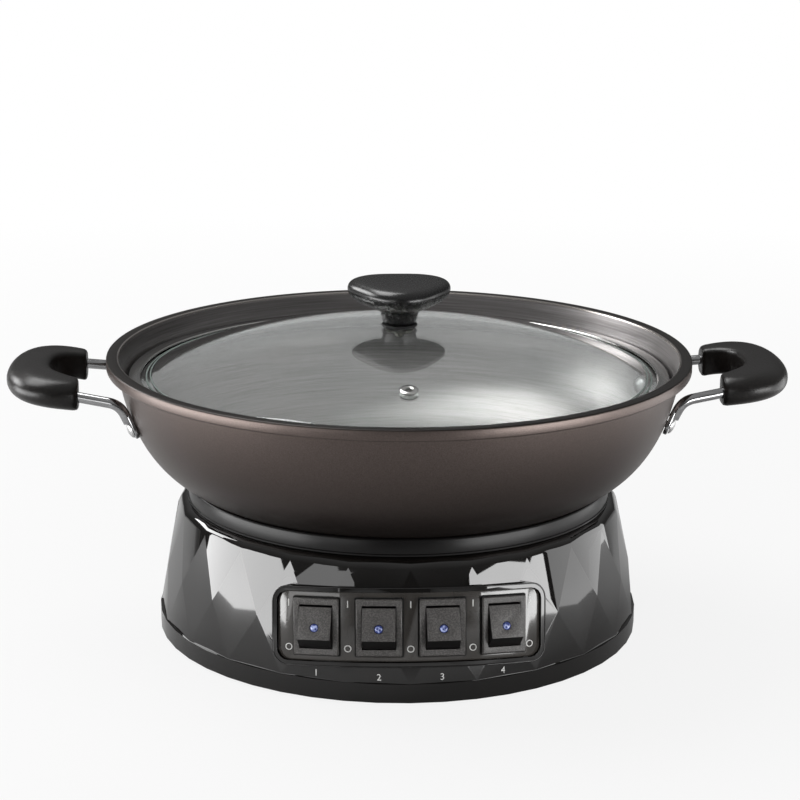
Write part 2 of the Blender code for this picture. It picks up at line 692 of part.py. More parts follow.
def make_panel(grey):
    """Curved plate in the recess, with a cut-out for each switch."""
    inset = 2 * (PANEL_LIP + GAP)
    plate = curved_slab(PANEL_WIDTH - inset, PANEL_TALL - inset, PANEL_CORNER - PANEL_LIP,
                        PLATE_BACK_RADIUS, PLATE_FRONT_RADIUS)
    holes = []
    for index in range(SWITCH_COUNT):
        half_width = SWITCH_HALF_WIDTH + GAP
        half_tall = SWITCH_HALF_TALL + GAP
        hole = block((-half_width, 0, -half_tall),
                     (half_width, BEZEL_THICKNESS + PANEL_RECESS + CUT_OVERRUN, half_tall))
        holes.append(moved(hole, switch_frame(index)))
    place("switch_panel", cut(moved(plate, panel_frame()), gathered(holes)), grey)


def switch_housing_mesh():
    """Bezel and body of a switch, hollow for its rocker, with two tabs behind."""
    bezel = block((-BEZEL_WIDTH / 2, 0, -BEZEL_TALL / 2), (BEZEL_WIDTH / 2, BEZEL_THICKNESS, BEZEL_TALL / 2))
    bezel = eased(bezel, BEZEL_CHAMFER)
    back = BEZEL_THICKNESS + SWITCH_BODY_DEPTH
    body = block((-SWITCH_HALF_WIDTH, BEZEL_THICKNESS / 2, -SWITCH_HALF_TALL),
                 (SWITCH_HALF_WIDTH, back, SWITCH_HALF_TALL))
    tabs = []
    for middle in (TAB_PITCH / 2, -TAB_PITCH / 2):
        tabs.append(block((-TAB_WIDTH / 2, back - SWITCH_WALL / 2, middle - TAB_THICKNESS / 2),
                          (TAB_WIDTH / 2, back + TAB_LENGTH, middle + TAB_THICKNESS / 2)))
    inner = SWITCH_HALF_WIDTH - SWITCH_WALL
    chamber = block((-inner, SWITCH_MOUTH_LIP, -SWITCH_CHAMBER_HALF),
                    (inner, back - SWITCH_WALL, SWITCH_CHAMBER_HALF))
    mouth = block((-inner, -CUT_OVERRUN, -SWITCH_MOUTH_HALF), (inner, back / 2, SWITCH_MOUTH_HALF))
    bore = cylinder(TRUNNION_RADIUS + ROCKER_CLEARANCE, -inner - TRUNNION_LENGTH - GAP,
                    inner + TRUNNION_LENGTH + GAP)
    across = Matrix.Translation((0, PIVOT_DEPTH, 0)) @ Matrix.Rotation(pi / 2, 4, "Y")
    return cut(joined(bezel, body, gathered(tabs)), chamber, mouth, moved(bore, across))


def rocker_mesh():
    """Rocker with its origin on the pivot: flat face, curved ends, two trunnions and a hole for the lens."""
    half = ROCKER_FACE_LENGTH / 2
    turn = asin(ROCKER_END_HALF / ROCKER_END_RADIUS) + ROCKER_TILT
    end = (ROCKER_END_RADIUS * sin(turn), ROCKER_END_RADIUS * cos(turn))
    waist = half * rocker_waist_share
    outline = [(half, ROCKER_FACE_HEIGHT), end, (waist, -ROCKER_UNDERSIDE), (-waist, -ROCKER_UNDERSIDE),
               (-end[0], end[1]), (-half, ROCKER_FACE_HEIGHT)]
    body = extruded(outline, -ROCKER_WIDTH / 2, ROCKER_WIDTH / 2)
    pin = cylinder(TRUNNION_RADIUS, -ROCKER_WIDTH / 2 - TRUNNION_LENGTH, ROCKER_WIDTH / 2 + TRUNNION_LENGTH)
    upright = Matrix(((0, 0, 1, 0), (0, -1, 0, 0), (1, 0, 0, 0), (0, 0, 0, 1)))
    hole_low = ROCKER_FACE_HEIGHT - LENS_DEPTH - GAP
    hole = cylinder(LENS_RADIUS + GAP, hole_low, ROCKER_FACE_HEIGHT + CUT_OVERRUN)
    hole = moved(hole, Matrix.Translation((0, 0, -LENS_OFFSET)) @ Matrix.Rotation(pi / 2, 4, "X"))
    return cut(joined(moved(body, upright), moved(pin, upright)), hole)


def lens_mesh():
    """Clear jewel that sits in the rocker's hole, in the rocker's frame."""
    low = ROCKER_FACE_HEIGHT - LENS_DEPTH
    dome = LENS_RADIUS * lens_dome_share
    profile = [(0, low), (LENS_RADIUS, low), (LENS_RADIUS, ROCKER_FACE_HEIGHT)]
    for step in range(1, LENS_DOME_STEPS):
        turn = pi / 2 * step / LENS_DOME_STEPS
        profile.append((LENS_RADIUS * cos(turn), ROCKER_FACE_HEIGHT + dome * sin(turn)))
    profile.append((0, ROCKER_FACE_HEIGHT + dome))
    seat = Matrix.Translation((0, 0, -LENS_OFFSET)) @ Matrix.Rotation(pi / 2, 4, "X")
    return moved(turned(profile, SMALL_STEPS), seat)


def make_switches(plastic, clear):
    """Four alike switches, each with its top pressed in."""
    housing, rocker, lens = switch_housing_mesh(), rocker_mesh(), lens_mesh()
    for index in range(SWITCH_COUNT):
        frame = switch_frame(index)
        pivot = frame @ Matrix.Translation((0, PIVOT_DEPTH, 0)) @ Matrix.Rotation(-ROCKER_TILT, 4, "X")
        number = index + 1
        place(f"switch_housing_{number}", housing.copy(), plastic, frame)
        place(f"rocker_{number}", rocker.copy(), plastic, pivot)
        place(f"indicator_lens_{number}", lens.copy(), clear, pivot)


def half_ellipse(centre, reach, half, steps):
    """Points of half an ellipse that bulges towards +X, from +Y round to -Y."""
    turns = [pi / 2 - pi * step / steps for step in range(steps + 1)]
    return [(centre + reach * cos(turn), half * sin(turn)) for turn in turns]


def grip_outline():
    """Plan of the right grip: a wide bow with two arms towards the pan and a hole for fingers."""
    outer = half_ellipse(GRIP_WIDEST_X, GRIP_REACH, GRIP_HALF_SPAN, GRIP_ARC_STEPS)
    taper = []
    for step in range(1, GRIP_TAPER_STEPS + 1):
        back = (GRIP_WIDEST_X - GRIP_ARM_X) * step / GRIP_TAPER_STEPS
        taper.append((GRIP_WIDEST_X - back, GRIP_HALF_SPAN * sqrt(1 - (back / GRIP_TAPER_REACH) ** 2)))
    inner = half_ellipse(GRIP_ARM_X, GRIP_HOLE_REACH, GRIP_HOLE_HALF, GRIP_HOLE_STEPS)
    return (list(reversed(taper)) + outer + [(across, -along) for across, along in taper]
            + list(reversed(inner)))


def rod_path():
    """Centre line of the right handle's rod, from one tab through the grip to the other."""
    plan = half_ellipse(ROD_ARC_X, ROD_ARC_REACH, ROD_ARC_HALF, ROD_ARC_STEPS)
    arc = [Vector((across, along, ROD_HEIGHT)) for across, along in plan]
    legs = []
    for arm in (1, -1):
        frame = wall_frame(1, arm)
        stand_off = ROD_RADIUS + GAP + ROD_STANDOFF
        start = frame @ Vector((0, ROD_START, stand_off))
        bend = frame @ Vector((0, ROD_LIFT, stand_off))
        mouth = arc[0] if arm > 0 else arc[-1]
        legs.append([start] + rounded_corner(start, bend, mouth, ROD_BEND, ROD_BEND_STEPS))
    return legs[0] + arc + list(reversed(legs[1]))


def make_handles(chrome, bakelite, steel):
    """Rod, grip and rivets of each handle."""
    path = rod_path()
    rod = tube(path, ROD_RADIUS)
    low = GAP
    for arm in (1, -1):
        tab = block((-HANDLE_TAB_WIDTH / 2, -HANDLE_TAB_BELOW, low),
                    (HANDLE_TAB_WIDTH / 2, HANDLE_TAB_ABOVE, low + HANDLE_TAB_THICKNESS))
        hole = cylinder(RIVET_SHANK_RADIUS + GAP, -CUT_OVERRUN, low + HANDLE_TAB_THICKNESS + CUT_OVERRUN)
        frame = wall_frame(1, arm)
        rod = joined(rod, moved(eased(tab, HANDLE_TAB_EDGE), frame))
        rod = cut(rod, moved(hole, frame))
    grip = extruded(grip_outline(), GRIP_HEIGHT - GRIP_THICKNESS / 2, GRIP_HEIGHT + GRIP_THICKNESS / 2)
    grip = cut(eased(grip, GRIP_EDGE, GRIP_EDGE_SEGMENTS), tube(path, ROD_RADIUS + GAP))
    out = low + HANDLE_TAB_THICKNESS + GAP
    back = -PAN_WALL - 2 * GAP
    shoulder = RIVET_HEAD_RADIUS * rivet_shoulder_share
    rise = RIVET_HEAD_HEIGHT / 2
    rivet = turned([(0, back - RIVET_HEAD_HEIGHT), (shoulder, back - rise), (RIVET_HEAD_RADIUS, back),
                    (RIVET_SHANK_RADIUS, back), (RIVET_SHANK_RADIUS, out), (RIVET_HEAD_RADIUS, out),
                    (shoulder, out + rise), (0, out + RIVET_HEAD_HEIGHT)], SMALL_STEPS)
    for side, label in ((1, "right"), (-1, "left")):
        turn = turn_z(0 if side > 0 else pi)
        place(f"handle_rod_{label}", rod.copy(), chrome, turn)
        place(f"handle_grip_{label}", grip.copy(), bakelite, turn)
        for arm, where in ((side, "back"), (-side, "front")):
            place(f"handle_rivet_{label}_{where}", rivet.copy(), steel, wall_frame(side, arm))


def make_lid(clear, steel, black, rubber):
    """Glass, band, vent and knob of the lid, where it rests in the pan's mouth."""
    inner_wall = inner_wall_points(pan_wall_points())
    seat = PAN_RIM_HEIGHT - LID_DROP
    lid_radius = crossing(inner_wall, seat, 1, 0) - GAP
    flat_low = seat + LID_BAND_HEIGHT - LID_BAND_WALL - GAP - GLASS_THICKNESS
    edge = lid_radius - LID_BAND_WALL - GAP
    dome_edge = edge - GLASS_FLAT
    dome_radius = (dome_edge ** 2 + GLASS_RISE ** 2) / (2 * GLASS_RISE)
    opening = asin(dome_edge / dome_radius)
    centre = flat_low + GLASS_RISE - dome_radius
    hole = LID_SCREW_RADIUS + 2 * GAP
    under, over = [], []
    for step in range(GLASS_STEPS + 1):
        turn = opening * (1 - step / GLASS_STEPS)
        radius = max(dome_radius * sin(turn), hole)
        under.append((radius, centre + sqrt(dome_radius ** 2 - radius ** 2)))
        thick = dome_radius + GLASS_THICKNESS
        over.append((radius, centre + sqrt(thick ** 2 - radius ** 2)))
    over[0] = (dome_edge, flat_low + GLASS_THICKNESS)
    glass = turned([(edge, flat_low)] + under + list(reversed(over)) + [(edge, flat_low + GLASS_THICKNESS)])

    tip = asin(VENT_DISTANCE / (dome_radius + GLASS_THICKNESS / 2))
    vent_frame = (Matrix.Translation((0, 0, centre)) @ Matrix.Rotation(tip, 4, "X")
                  @ Matrix.Translation((0, 0, dome_radius)))
    vent_hole = cylinder(VENT_TUBE_RADIUS + GAP, -CUT_OVERRUN, GLASS_THICKNESS + CUT_OVERRUN)
    place("lid_glass", cut(glass, moved(vent_hole, vent_frame)), clear)
    vent_top = GLASS_THICKNESS + GAP
    vent_low = -2 * GAP
    flange = VENT_FLANGE_RADIUS
    eyelet = turned([(VENT_BORE_RADIUS, vent_low - VENT_FLANGE_THICKNESS),
                     (flange, vent_low - VENT_FLANGE_THICKNESS),
                     (flange, vent_low), (VENT_TUBE_RADIUS, vent_low), (VENT_TUBE_RADIUS, vent_top),
                     (flange, vent_top), (flange, vent_top + VENT_FLANGE_THICKNESS),
                     (VENT_BORE_RADIUS, vent_top + VENT_FLANGE_THICKNESS)], SMALL_STEPS)
    place("vent_eyelet", eyelet, steel, vent_frame)

    top = seat + LID_BAND_HEIGHT
    inner = lid_radius - LID_BAND_WIDTH
    groove = lid_radius - LID_BAND_WALL
    bevel = LID_BAND_BEVEL
    floor = flat_low - GAP
    roof = top - LID_BAND_WALL
    band = turned([(inner, floor - LID_BAND_WALL), (groove, seat), (lid_radius - bevel, seat),
                   (lid_radius, seat + bevel), (lid_radius, top - bevel), (lid_radius - bevel, top),
                   (inner, top), (inner, roof), (groove, roof), (groove, floor), (inner, floor)])
    place("lid_rim", band, steel)

    crown = centre + dome_radius + GLASS_THICKNESS
    below = centre + sqrt(dome_radius ** 2 - WASHER_RADIUS ** 2)
    gasket_low = crown + GAP
    neck_low = gasket_low + GASKET_THICKNESS + GAP
    bore = LID_SCREW_RADIUS + GAP
    place("knob_gasket", turned([(bore, gasket_low), (GASKET_RADIUS, gasket_low),
                                 (GASKET_RADIUS, gasket_low + GASKET_THICKNESS),
                                 (bore, gasket_low + GASKET_THICKNESS)], SMALL_STEPS), rubber)
    washer_top = below - GAP
    washer_low = washer_top - WASHER_THICKNESS
    place("knob_washer", turned([(bore, washer_low), (WASHER_RADIUS, washer_low), (WASHER_RADIUS, washer_top),
                                 (bore, washer_top)], SMALL_STEPS), steel)
    head_top = washer_low - GAP
    screw_end = neck_low + LID_SCREW_GRIP
    head_low = head_top - LID_SCREW_HEAD_HEIGHT
    place("knob_screw", turned([(0, head_low), (LID_SCREW_HEAD_RADIUS / 2, head_low),
                                (LID_SCREW_HEAD_RADIUS, head_top), (LID_SCREW_RADIUS, head_top),
                                (LID_SCREW_RADIUS, screw_end), (0, screw_end)], SMALL_STEPS), steel)
    head_low = neck_low + KNOB_NECK_HEIGHT
    outline = []
    for step in range(KNOB_OUTLINE_STEPS):
        turn = tau * step / KNOB_OUTLINE_STEPS
        radius = KNOB_RADIUS * (1 + knob_lobe_share * cos(KNOB_LOBES * (turn + pi / 2)))
        outline.append((radius * cos(turn), radius * sin(turn)))
    head = eased(extruded(outline, head_low, head_low + KNOB_HEAD_HEIGHT), KNOB_EDGE, KNOB_EDGE_SEGMENTS)
    neck = turned([(0, neck_low), (KNOB_NECK_RADIUS, neck_low), (KNOB_NECK_TOP_RADIUS, head_low),
                   (KNOB_NECK_TOP_RADIUS, head_low + KNOB_EDGE), (0, head_low + KNOB_EDGE)], MIDDLE_STEPS)
    screw_hole = cylinder(bore, neck_low - CUT_OVERRUN, screw_end + GAP)
    place("knob", cut(joined(head, neck), screw_hole), black)


def make_heater(dark_steel, steel, rubber):
    """Heating rings, shield, studs, nuts, thermostat and fuse under the pan."""
    tube_radius = (HEATER_TOP - HEATER_BOTTOM) / 2
    rings = {"inner": heater_inner_share, "middle": heater_middle_share, "outer": heater_outer_share}
    for label, share in rings.items():
        radius = PAN_FLAT_RADIUS * share
        section = []
        for side in range(HEATER_SIDES):
            turn = tau * (side + 1 / 2) / HEATER_SIDES
            section.append((radius + tube_radius * cos(turn), HEATER_BOTTOM + tube_radius * (1 + sin(turn))))
        place(f"heater_ring_{label}", turned(section, MIDDLE_STEPS), dark_steel)
    outer = PAN_FLAT_RADIUS - SHIELD_INSET
    inner = outer - SHIELD_WALL
    low = SHIELD_FLOOR - SHIELD_WALL
    shield = turned([(0, low), (outer, low), (outer, HEATER_TOP), (inner, HEATER_TOP), (inner, SHIELD_FLOOR),
                     (0, SHIELD_FLOOR)])
    stud_low = FLOOR_HEIGHT - STUD_TAIL
    stud = cylinder(STUD_RADIUS, stud_low, HEATER_TOP)
    nut_top = FLOOR_HEIGHT - GAP
    nut = cut(cylinder(NUT_RADIUS, nut_top - NUT_HEIGHT, nut_top, NUT_SIDES),
              cylinder(STUD_RADIUS + GAP, stud_low - CUT_OVERRUN, FLOOR_TOP))
    holes = []
    for index in range(STUD_COUNT):
        spot = spoke(STUD_FIRST_ANGLE + tau * index / STUD_COUNT, STUD_CIRCLE_RADIUS)
        place(f"wok_stud_{index + 1}", stud.copy(), steel, spot)
        place(f"stud_nut_{index + 1}", nut.copy(), steel, spot)
        holes.append(moved(cylinder(STUD_RADIUS + GAP, low - CUT_OVERRUN, SHIELD_FLOOR + CUT_OVERRUN), spot))
    place("heat_shield", cut(shield, gathered(holes)), steel)
    cap = HEATER_TOP - THERMOSTAT_CAP_HEIGHT
    sensor = turned([(0, HEATER_BOTTOM), (THERMOSTAT_RADIUS, HEATER_BOTTOM), (THERMOSTAT_RADIUS, cap),
                     (THERMOSTAT_CAP_RADIUS, cap), (THERMOSTAT_CAP_RADIUS, HEATER_TOP), (0, HEATER_TOP)],
                    MIDDLE_STEPS)
    place("thermostat", sensor, dark_steel)
    half = FUSE_LENGTH / 2
    pin_end = half + FUSE_PIN_LENGTH
    fuse = turned([(0, -pin_end), (FUSE_PIN_RADIUS, -pin_end), (FUSE_PIN_RADIUS, -half), (FUSE_RADIUS, -half),
                   (FUSE_RADIUS, half), (FUSE_PIN_RADIUS, half), (FUSE_PIN_RADIUS, pin_end), (0, pin_end)],
                  SMALL_STEPS)
    spot = Matrix.Translation((0, FUSE_DISTANCE, low - GAP - FUSE_RADIUS)) @ Matrix.Rotation(pi / 2, 4, "Y")
    place("thermal_fuse", fuse, rubber, spot)


def make_floor(black, rubber, steel):
    """Bottom cover with its feet and screws."""
    radius = CORNER_RADIUS * cos(HALF_FACET) - BASE_WALL / cos(FACET_SLOPE) - GAP
    floor = cylinder(radius, FLOOR_HEIGHT, FLOOR_TOP, ROUND_STEPS)
    low, high = FLOOR_HEIGHT - CUT_OVERRUN, FLOOR_TOP + CUT_OVERRUN
    holes = []
    for index in range(STUD_COUNT):
        spot = spoke(STUD_FIRST_ANGLE + tau * index / STUD_COUNT, STUD_CIRCLE_RADIUS)
        holes.append(moved(cylinder(STUD_RADIUS + GAP, low, high), spot))
    for index in range(VENT_SLOT_COUNT):
        spot = spoke(tau * (index + 1 / 2) / VENT_SLOT_COUNT, VENT_SLOT_CIRCLE_RADIUS)
        holes.append(moved(cylinder(VENT_SLOT_RADIUS, low, high), spot))
    foot_top = FLOOR_HEIGHT - GAP
    cap_low = FLOOR_TOP + GAP
    cap_top = cap_low + FOOT_CAP_HEIGHT
    stem = FOOT_STEM_RADIUS
    foot = turned([(0, 0), (FOOT_RADIUS, 0), (FOOT_RADIUS - FOOT_TAPER, foot_top), (stem, foot_top),
                   (stem, cap_low), (FOOT_CAP_RADIUS, cap_low), (stem, cap_top), (0, cap_top)], MIDDLE_STEPS)
    for index, angle in enumerate(FOOT_ANGLES):
        spot = spoke(angle, FOOT_CIRCLE_RADIUS)
        place(f"foot_{index + 1}", foot.copy(), rubber, spot)
        holes.append(moved(cylinder(FOOT_STEM_RADIUS + GAP, low, high), spot))
    head = foot_top - COVER_SCREW_HEAD_HEIGHT
    tip = FLOOR_HEIGHT + COVER_SCREW_LENGTH
    screw = turned([(0, head), (COVER_SCREW_HEAD_RADIUS, head), (COVER_SCREW_HEAD_RADIUS, foot_top),
                    (COVER_SCREW_RADIUS, foot_top), (COVER_SCREW_RADIUS, tip), (0, tip)], SMALL_STEPS)
    for index, angle in enumerate(POST_ANGLES):
        spot = spoke(angle, POST_CIRCLE_RADIUS)
        place(f"cover_screw_{index + 1}", screw.copy(), steel, spot)
        holes.append(moved(cylinder(COVER_SCREW_RADIUS + GAP, low, high), spot))
    place("bottom_cover", cut(floor, gathered(holes)), black)


def make_inlet(black, brass, beige, red):
    """Appliance inlet, its three pins, the terminal block and the two leads between them."""
    front = INLET_FACE_Y + GAP
    face = front + INLET_FLANGE_THICKNESS
    back = face - INLET_SOCKET_DEPTH - INLET_WALL
    half_width, half_tall = INLET_SOCKET_WIDTH / 2, INLET_SOCKET_TALL / 2
    flange = block((-INLET_FLANGE_WIDTH / 2, front, -INLET_FLANGE_TALL / 2),
                   (INLET_FLANGE_WIDTH / 2, face, INLET_FLANGE_TALL / 2))
    body = block((-half_width - INLET_WALL, back, -half_tall - INLET_WALL),
                 (half_width + INLET_WALL, front + INLET_FLANGE_THICKNESS / 2, half_tall + INLET_WALL))
    corner = INLET_CORNER
    outline = [(-half_width, -half_tall), (half_width, -half_tall), (half_width, half_tall - corner),
               (half_width - corner, half_tall), (corner - half_width, half_tall),
               (-half_width, half_tall - corner)]
    socket = extruded(outline, -face - CUT_OVERRUN, -face + INLET_SOCKET_DEPTH)
    socket = moved(socket, Matrix.Rotation(pi / 2, 4, "X"))
    spots = {"line": (-INLET_PIN_SPREAD, -INLET_PIN_DROP), "neutral": (INLET_PIN_SPREAD, -INLET_PIN_DROP),
             "earth": (0, INLET_EARTH_RISE)}
    raised = Matrix.Translation((0, 0, INLET_HEIGHT))
    slots, ends = [], {}
    for label, (across, up) in spots.items():
        half_pin, half_pin_tall = INLET_PIN_WIDTH / 2, INLET_PIN_TALL / 2
        slots.append(block((across - half_pin - GAP, back - CUT_OVERRUN, up - half_pin_tall - GAP),
                           (across + half_pin + GAP, back + INLET_WALL + CUT_OVERRUN,
                            up + half_pin_tall + GAP)))
        pin = block((across - half_pin, back - INLET_PIN_TAIL, up - half_pin_tall),
                    (across + half_pin, face - INLET_PIN_SHORT, up + half_pin_tall))
        place(f"inlet_pin_{label}", moved(eased(pin, INLET_PIN_EDGE), raised), brass, smooth=False)
        ends[label] = Vector((across, back - INLET_PIN_TAIL - GAP, INLET_HEIGHT + up))
    housing = cut(joined(flange, body), socket, gathered(slots))
    place("inlet_housing", moved(housing, raised), black, smooth=False)

    low = FLOOR_TOP + GAP
    near = TERMINAL_DISTANCE + TERMINAL_DEPTH / 2
    middle = low + TERMINAL_TALL / 2
    body = eased(block((-TERMINAL_WIDTH / 2, near - TERMINAL_DEPTH, low),
                       (TERMINAL_WIDTH / 2, near, low + TERMINAL_TALL)), TERMINAL_EDGE)
    bores = []
    for across in (-INLET_PIN_SPREAD, INLET_PIN_SPREAD):
        bore = moved(cylinder(TERMINAL_BORE_RADIUS, -TERMINAL_DEPTH - CUT_OVERRUN, CUT_OVERRUN),
                     Matrix.Translation((across, near, middle)) @ Matrix.Rotation(-pi / 2, 4, "X"))
        bores.append(bore)
    place("terminal_block", cut(body, gathered(bores)), beige)
    for label, across in (("line", -INLET_PIN_SPREAD), ("neutral", INLET_PIN_SPREAD)):
        start = ends[label]
        end = Vector((across, near + GAP, middle))
        reach = start.y - end.y
        knots = [start, start - Vector((0, reach / 2, 0)), end + Vector((0, reach / 2, 0)), end]
        points = []
        for step in range(LEAD_STEPS + 1):
            t = step / LEAD_STEPS
            weights = ((1 - t) ** 3, 3 * t * (1 - t) ** 2, 3 * t ** 2 * (1 - t), t ** 3)
            points.append(sum((knot * weight for knot, weight in zip(knots, weights)), Vector((0, 0, 0))))
        place(f"lead_{label}", tube(points, LEAD_RADIUS, 1), red)


def main():
    """Build every sub-part."""
    clear_scene()
    pan_metal = finish("pan_coated_steel", "4a4441", 0.38, 0.85)
    gloss_black = finish("base_gloss_black", "0c0b0b", 0.08)
    collar_black = finish("collar_gloss_black", "161414", 0.12)
    panel_grey = finish("panel_dark_grey", "2c2a2a", 0.3)
    switch_black = finish("switch_matt_black", "1b1b1c", 0.6)
    clear_lens = finish("lens_clear", "c8d4ff", 0.05, 0.0, 0.6)
    chrome = finish("rod_chrome", "d8d8d8", 0.12, 1.0)
    grip_black = finish("grip_bakelite", "171412", 0.5)
    rivet_steel = finish("rivet_steel", "b9b9b9", 0.3, 1.0)
    lid_clear = finish("lid_glass", "eef4f2", 0.02, 0.0, 0.25)
    lid_steel = finish("lid_steel", "c4c4c4", 0.18, 1.0)
    knob_black = finish("knob_satin_black", "101011", 0.35)
    rubber = finish("black_rubber", "1a1a1a", 0.8)
    heater_steel = finish("heater_steel", "5a5652", 0.5, 0.9)
    zinc_steel = finish("zinc_steel", "a8a8a4", 0.4, 1.0)
    brass = finish("pin_brass", "c8b070", 0.3, 1.0)
    terminal_beige = finish("terminal_ceramic", "e4dcc8", 0.5)
    lead_red = finish("lead_sleeve", "8a3020", 0.6)
    make_pan(pan_metal)
    make_base(gloss_black, collar_black)
    make_panel(panel_grey)
    make_switches(switch_black, clear_lens)
    make_handles(chrome, grip_black, rivet_steel)
    make_lid(lid_clear, lid_steel, knob_black, rubber)
    make_heater(heater_steel, zinc_steel, rubber)
    make_floor(knob_black, rubber, zinc_steel)
    make_inlet(knob_black, brass, terminal_beige, lead_red)


main()
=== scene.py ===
import logging
from dataclasses import dataclass, field
from enum import Enum
from math import asin, atan2, copysign, cos, pi, radians, sin, sqrt, tau
from typing import Sequence

import bmesh
import bpy
from mathutils import Matrix, Vector


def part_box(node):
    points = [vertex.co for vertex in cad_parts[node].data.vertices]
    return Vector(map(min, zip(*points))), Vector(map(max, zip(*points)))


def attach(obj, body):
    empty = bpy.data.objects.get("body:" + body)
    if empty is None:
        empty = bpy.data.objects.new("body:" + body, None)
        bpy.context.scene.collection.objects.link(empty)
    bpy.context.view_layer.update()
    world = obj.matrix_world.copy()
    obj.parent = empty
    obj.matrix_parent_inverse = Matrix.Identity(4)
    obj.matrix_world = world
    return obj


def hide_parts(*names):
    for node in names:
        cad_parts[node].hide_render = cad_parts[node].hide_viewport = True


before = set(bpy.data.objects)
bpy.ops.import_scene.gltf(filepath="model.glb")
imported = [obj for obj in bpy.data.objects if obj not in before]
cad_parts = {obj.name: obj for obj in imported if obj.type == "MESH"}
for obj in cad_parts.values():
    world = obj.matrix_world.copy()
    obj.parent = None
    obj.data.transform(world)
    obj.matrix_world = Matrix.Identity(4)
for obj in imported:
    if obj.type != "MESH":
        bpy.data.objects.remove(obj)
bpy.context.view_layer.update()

log = logging.getLogger("electric_skillet")

MM = 0.001
Point = tuple[float, float]
Point3 = tuple[float, float, float]


def linear(colour: str) -> tuple[float, float, float, float]:
    """Turn an sRGB hex colour into linear values.

    Args:
        colour: six hex digits, such as "1a1a1a".

    Returns:
        Red, green, blue and an alpha of 1, linear.
    """
    values = []
    for start in (0, 2, 4):
        value = int(colour[start:start + 2], 16) / 255
        values.append(value / 12.92 if value <= 0.04045 else ((value + 0.055) / 1.055) ** 2.4)
    return (*values, 1.0)


def add_node(tree: bpy.types.NodeTree, kind: str, settings: dict, links: dict | None = None) -> bpy.types.Node:
    """Add a node with its settings and links.

    Args:
        tree: the node tree that gets the node.
        kind: the node's class name without the ShaderNode part.
        settings: values by property name or, with a capital or a number, by input socket.
        links: output sockets by the input that they feed.

    Returns:
        The new node.
    """
    node = tree.nodes.new("ShaderNode" + kind)
    for key, value in settings.items():
        if isinstance(key, str) and key[0].islower():
            setattr(node, key, value)
    for key, value in settings.items():
        if not isinstance(key, str) or not key[0].islower():
            node.inputs[key].default_value = value
    for key, output in (links or {}).items():
        tree.links.new(output, node.inputs[key])
    return node


def bezier(knots: Sequence[Point], t: float) -> Point:
    """Point at a share t along the cubic curve of four knots."""
    weights = ((1 - t) ** 3, 3 * t * (1 - t) ** 2, 3 * t ** 2 * (1 - t), t ** 3)
    return sum(k[0] * w for k, w in zip(knots, weights)), sum(k[1] * w for k, w in zip(knots, weights))


class Pattern(Enum):
    """What the surface of a finish shows up close."""

    PLAIN = "plain"
    SPECKLE = "speckle"
    GRAIN = "grain"
    TURNED = "turned"
    DRAWN = "drawn"
    SPARK = "spark"
    JEWEL = "jewel"


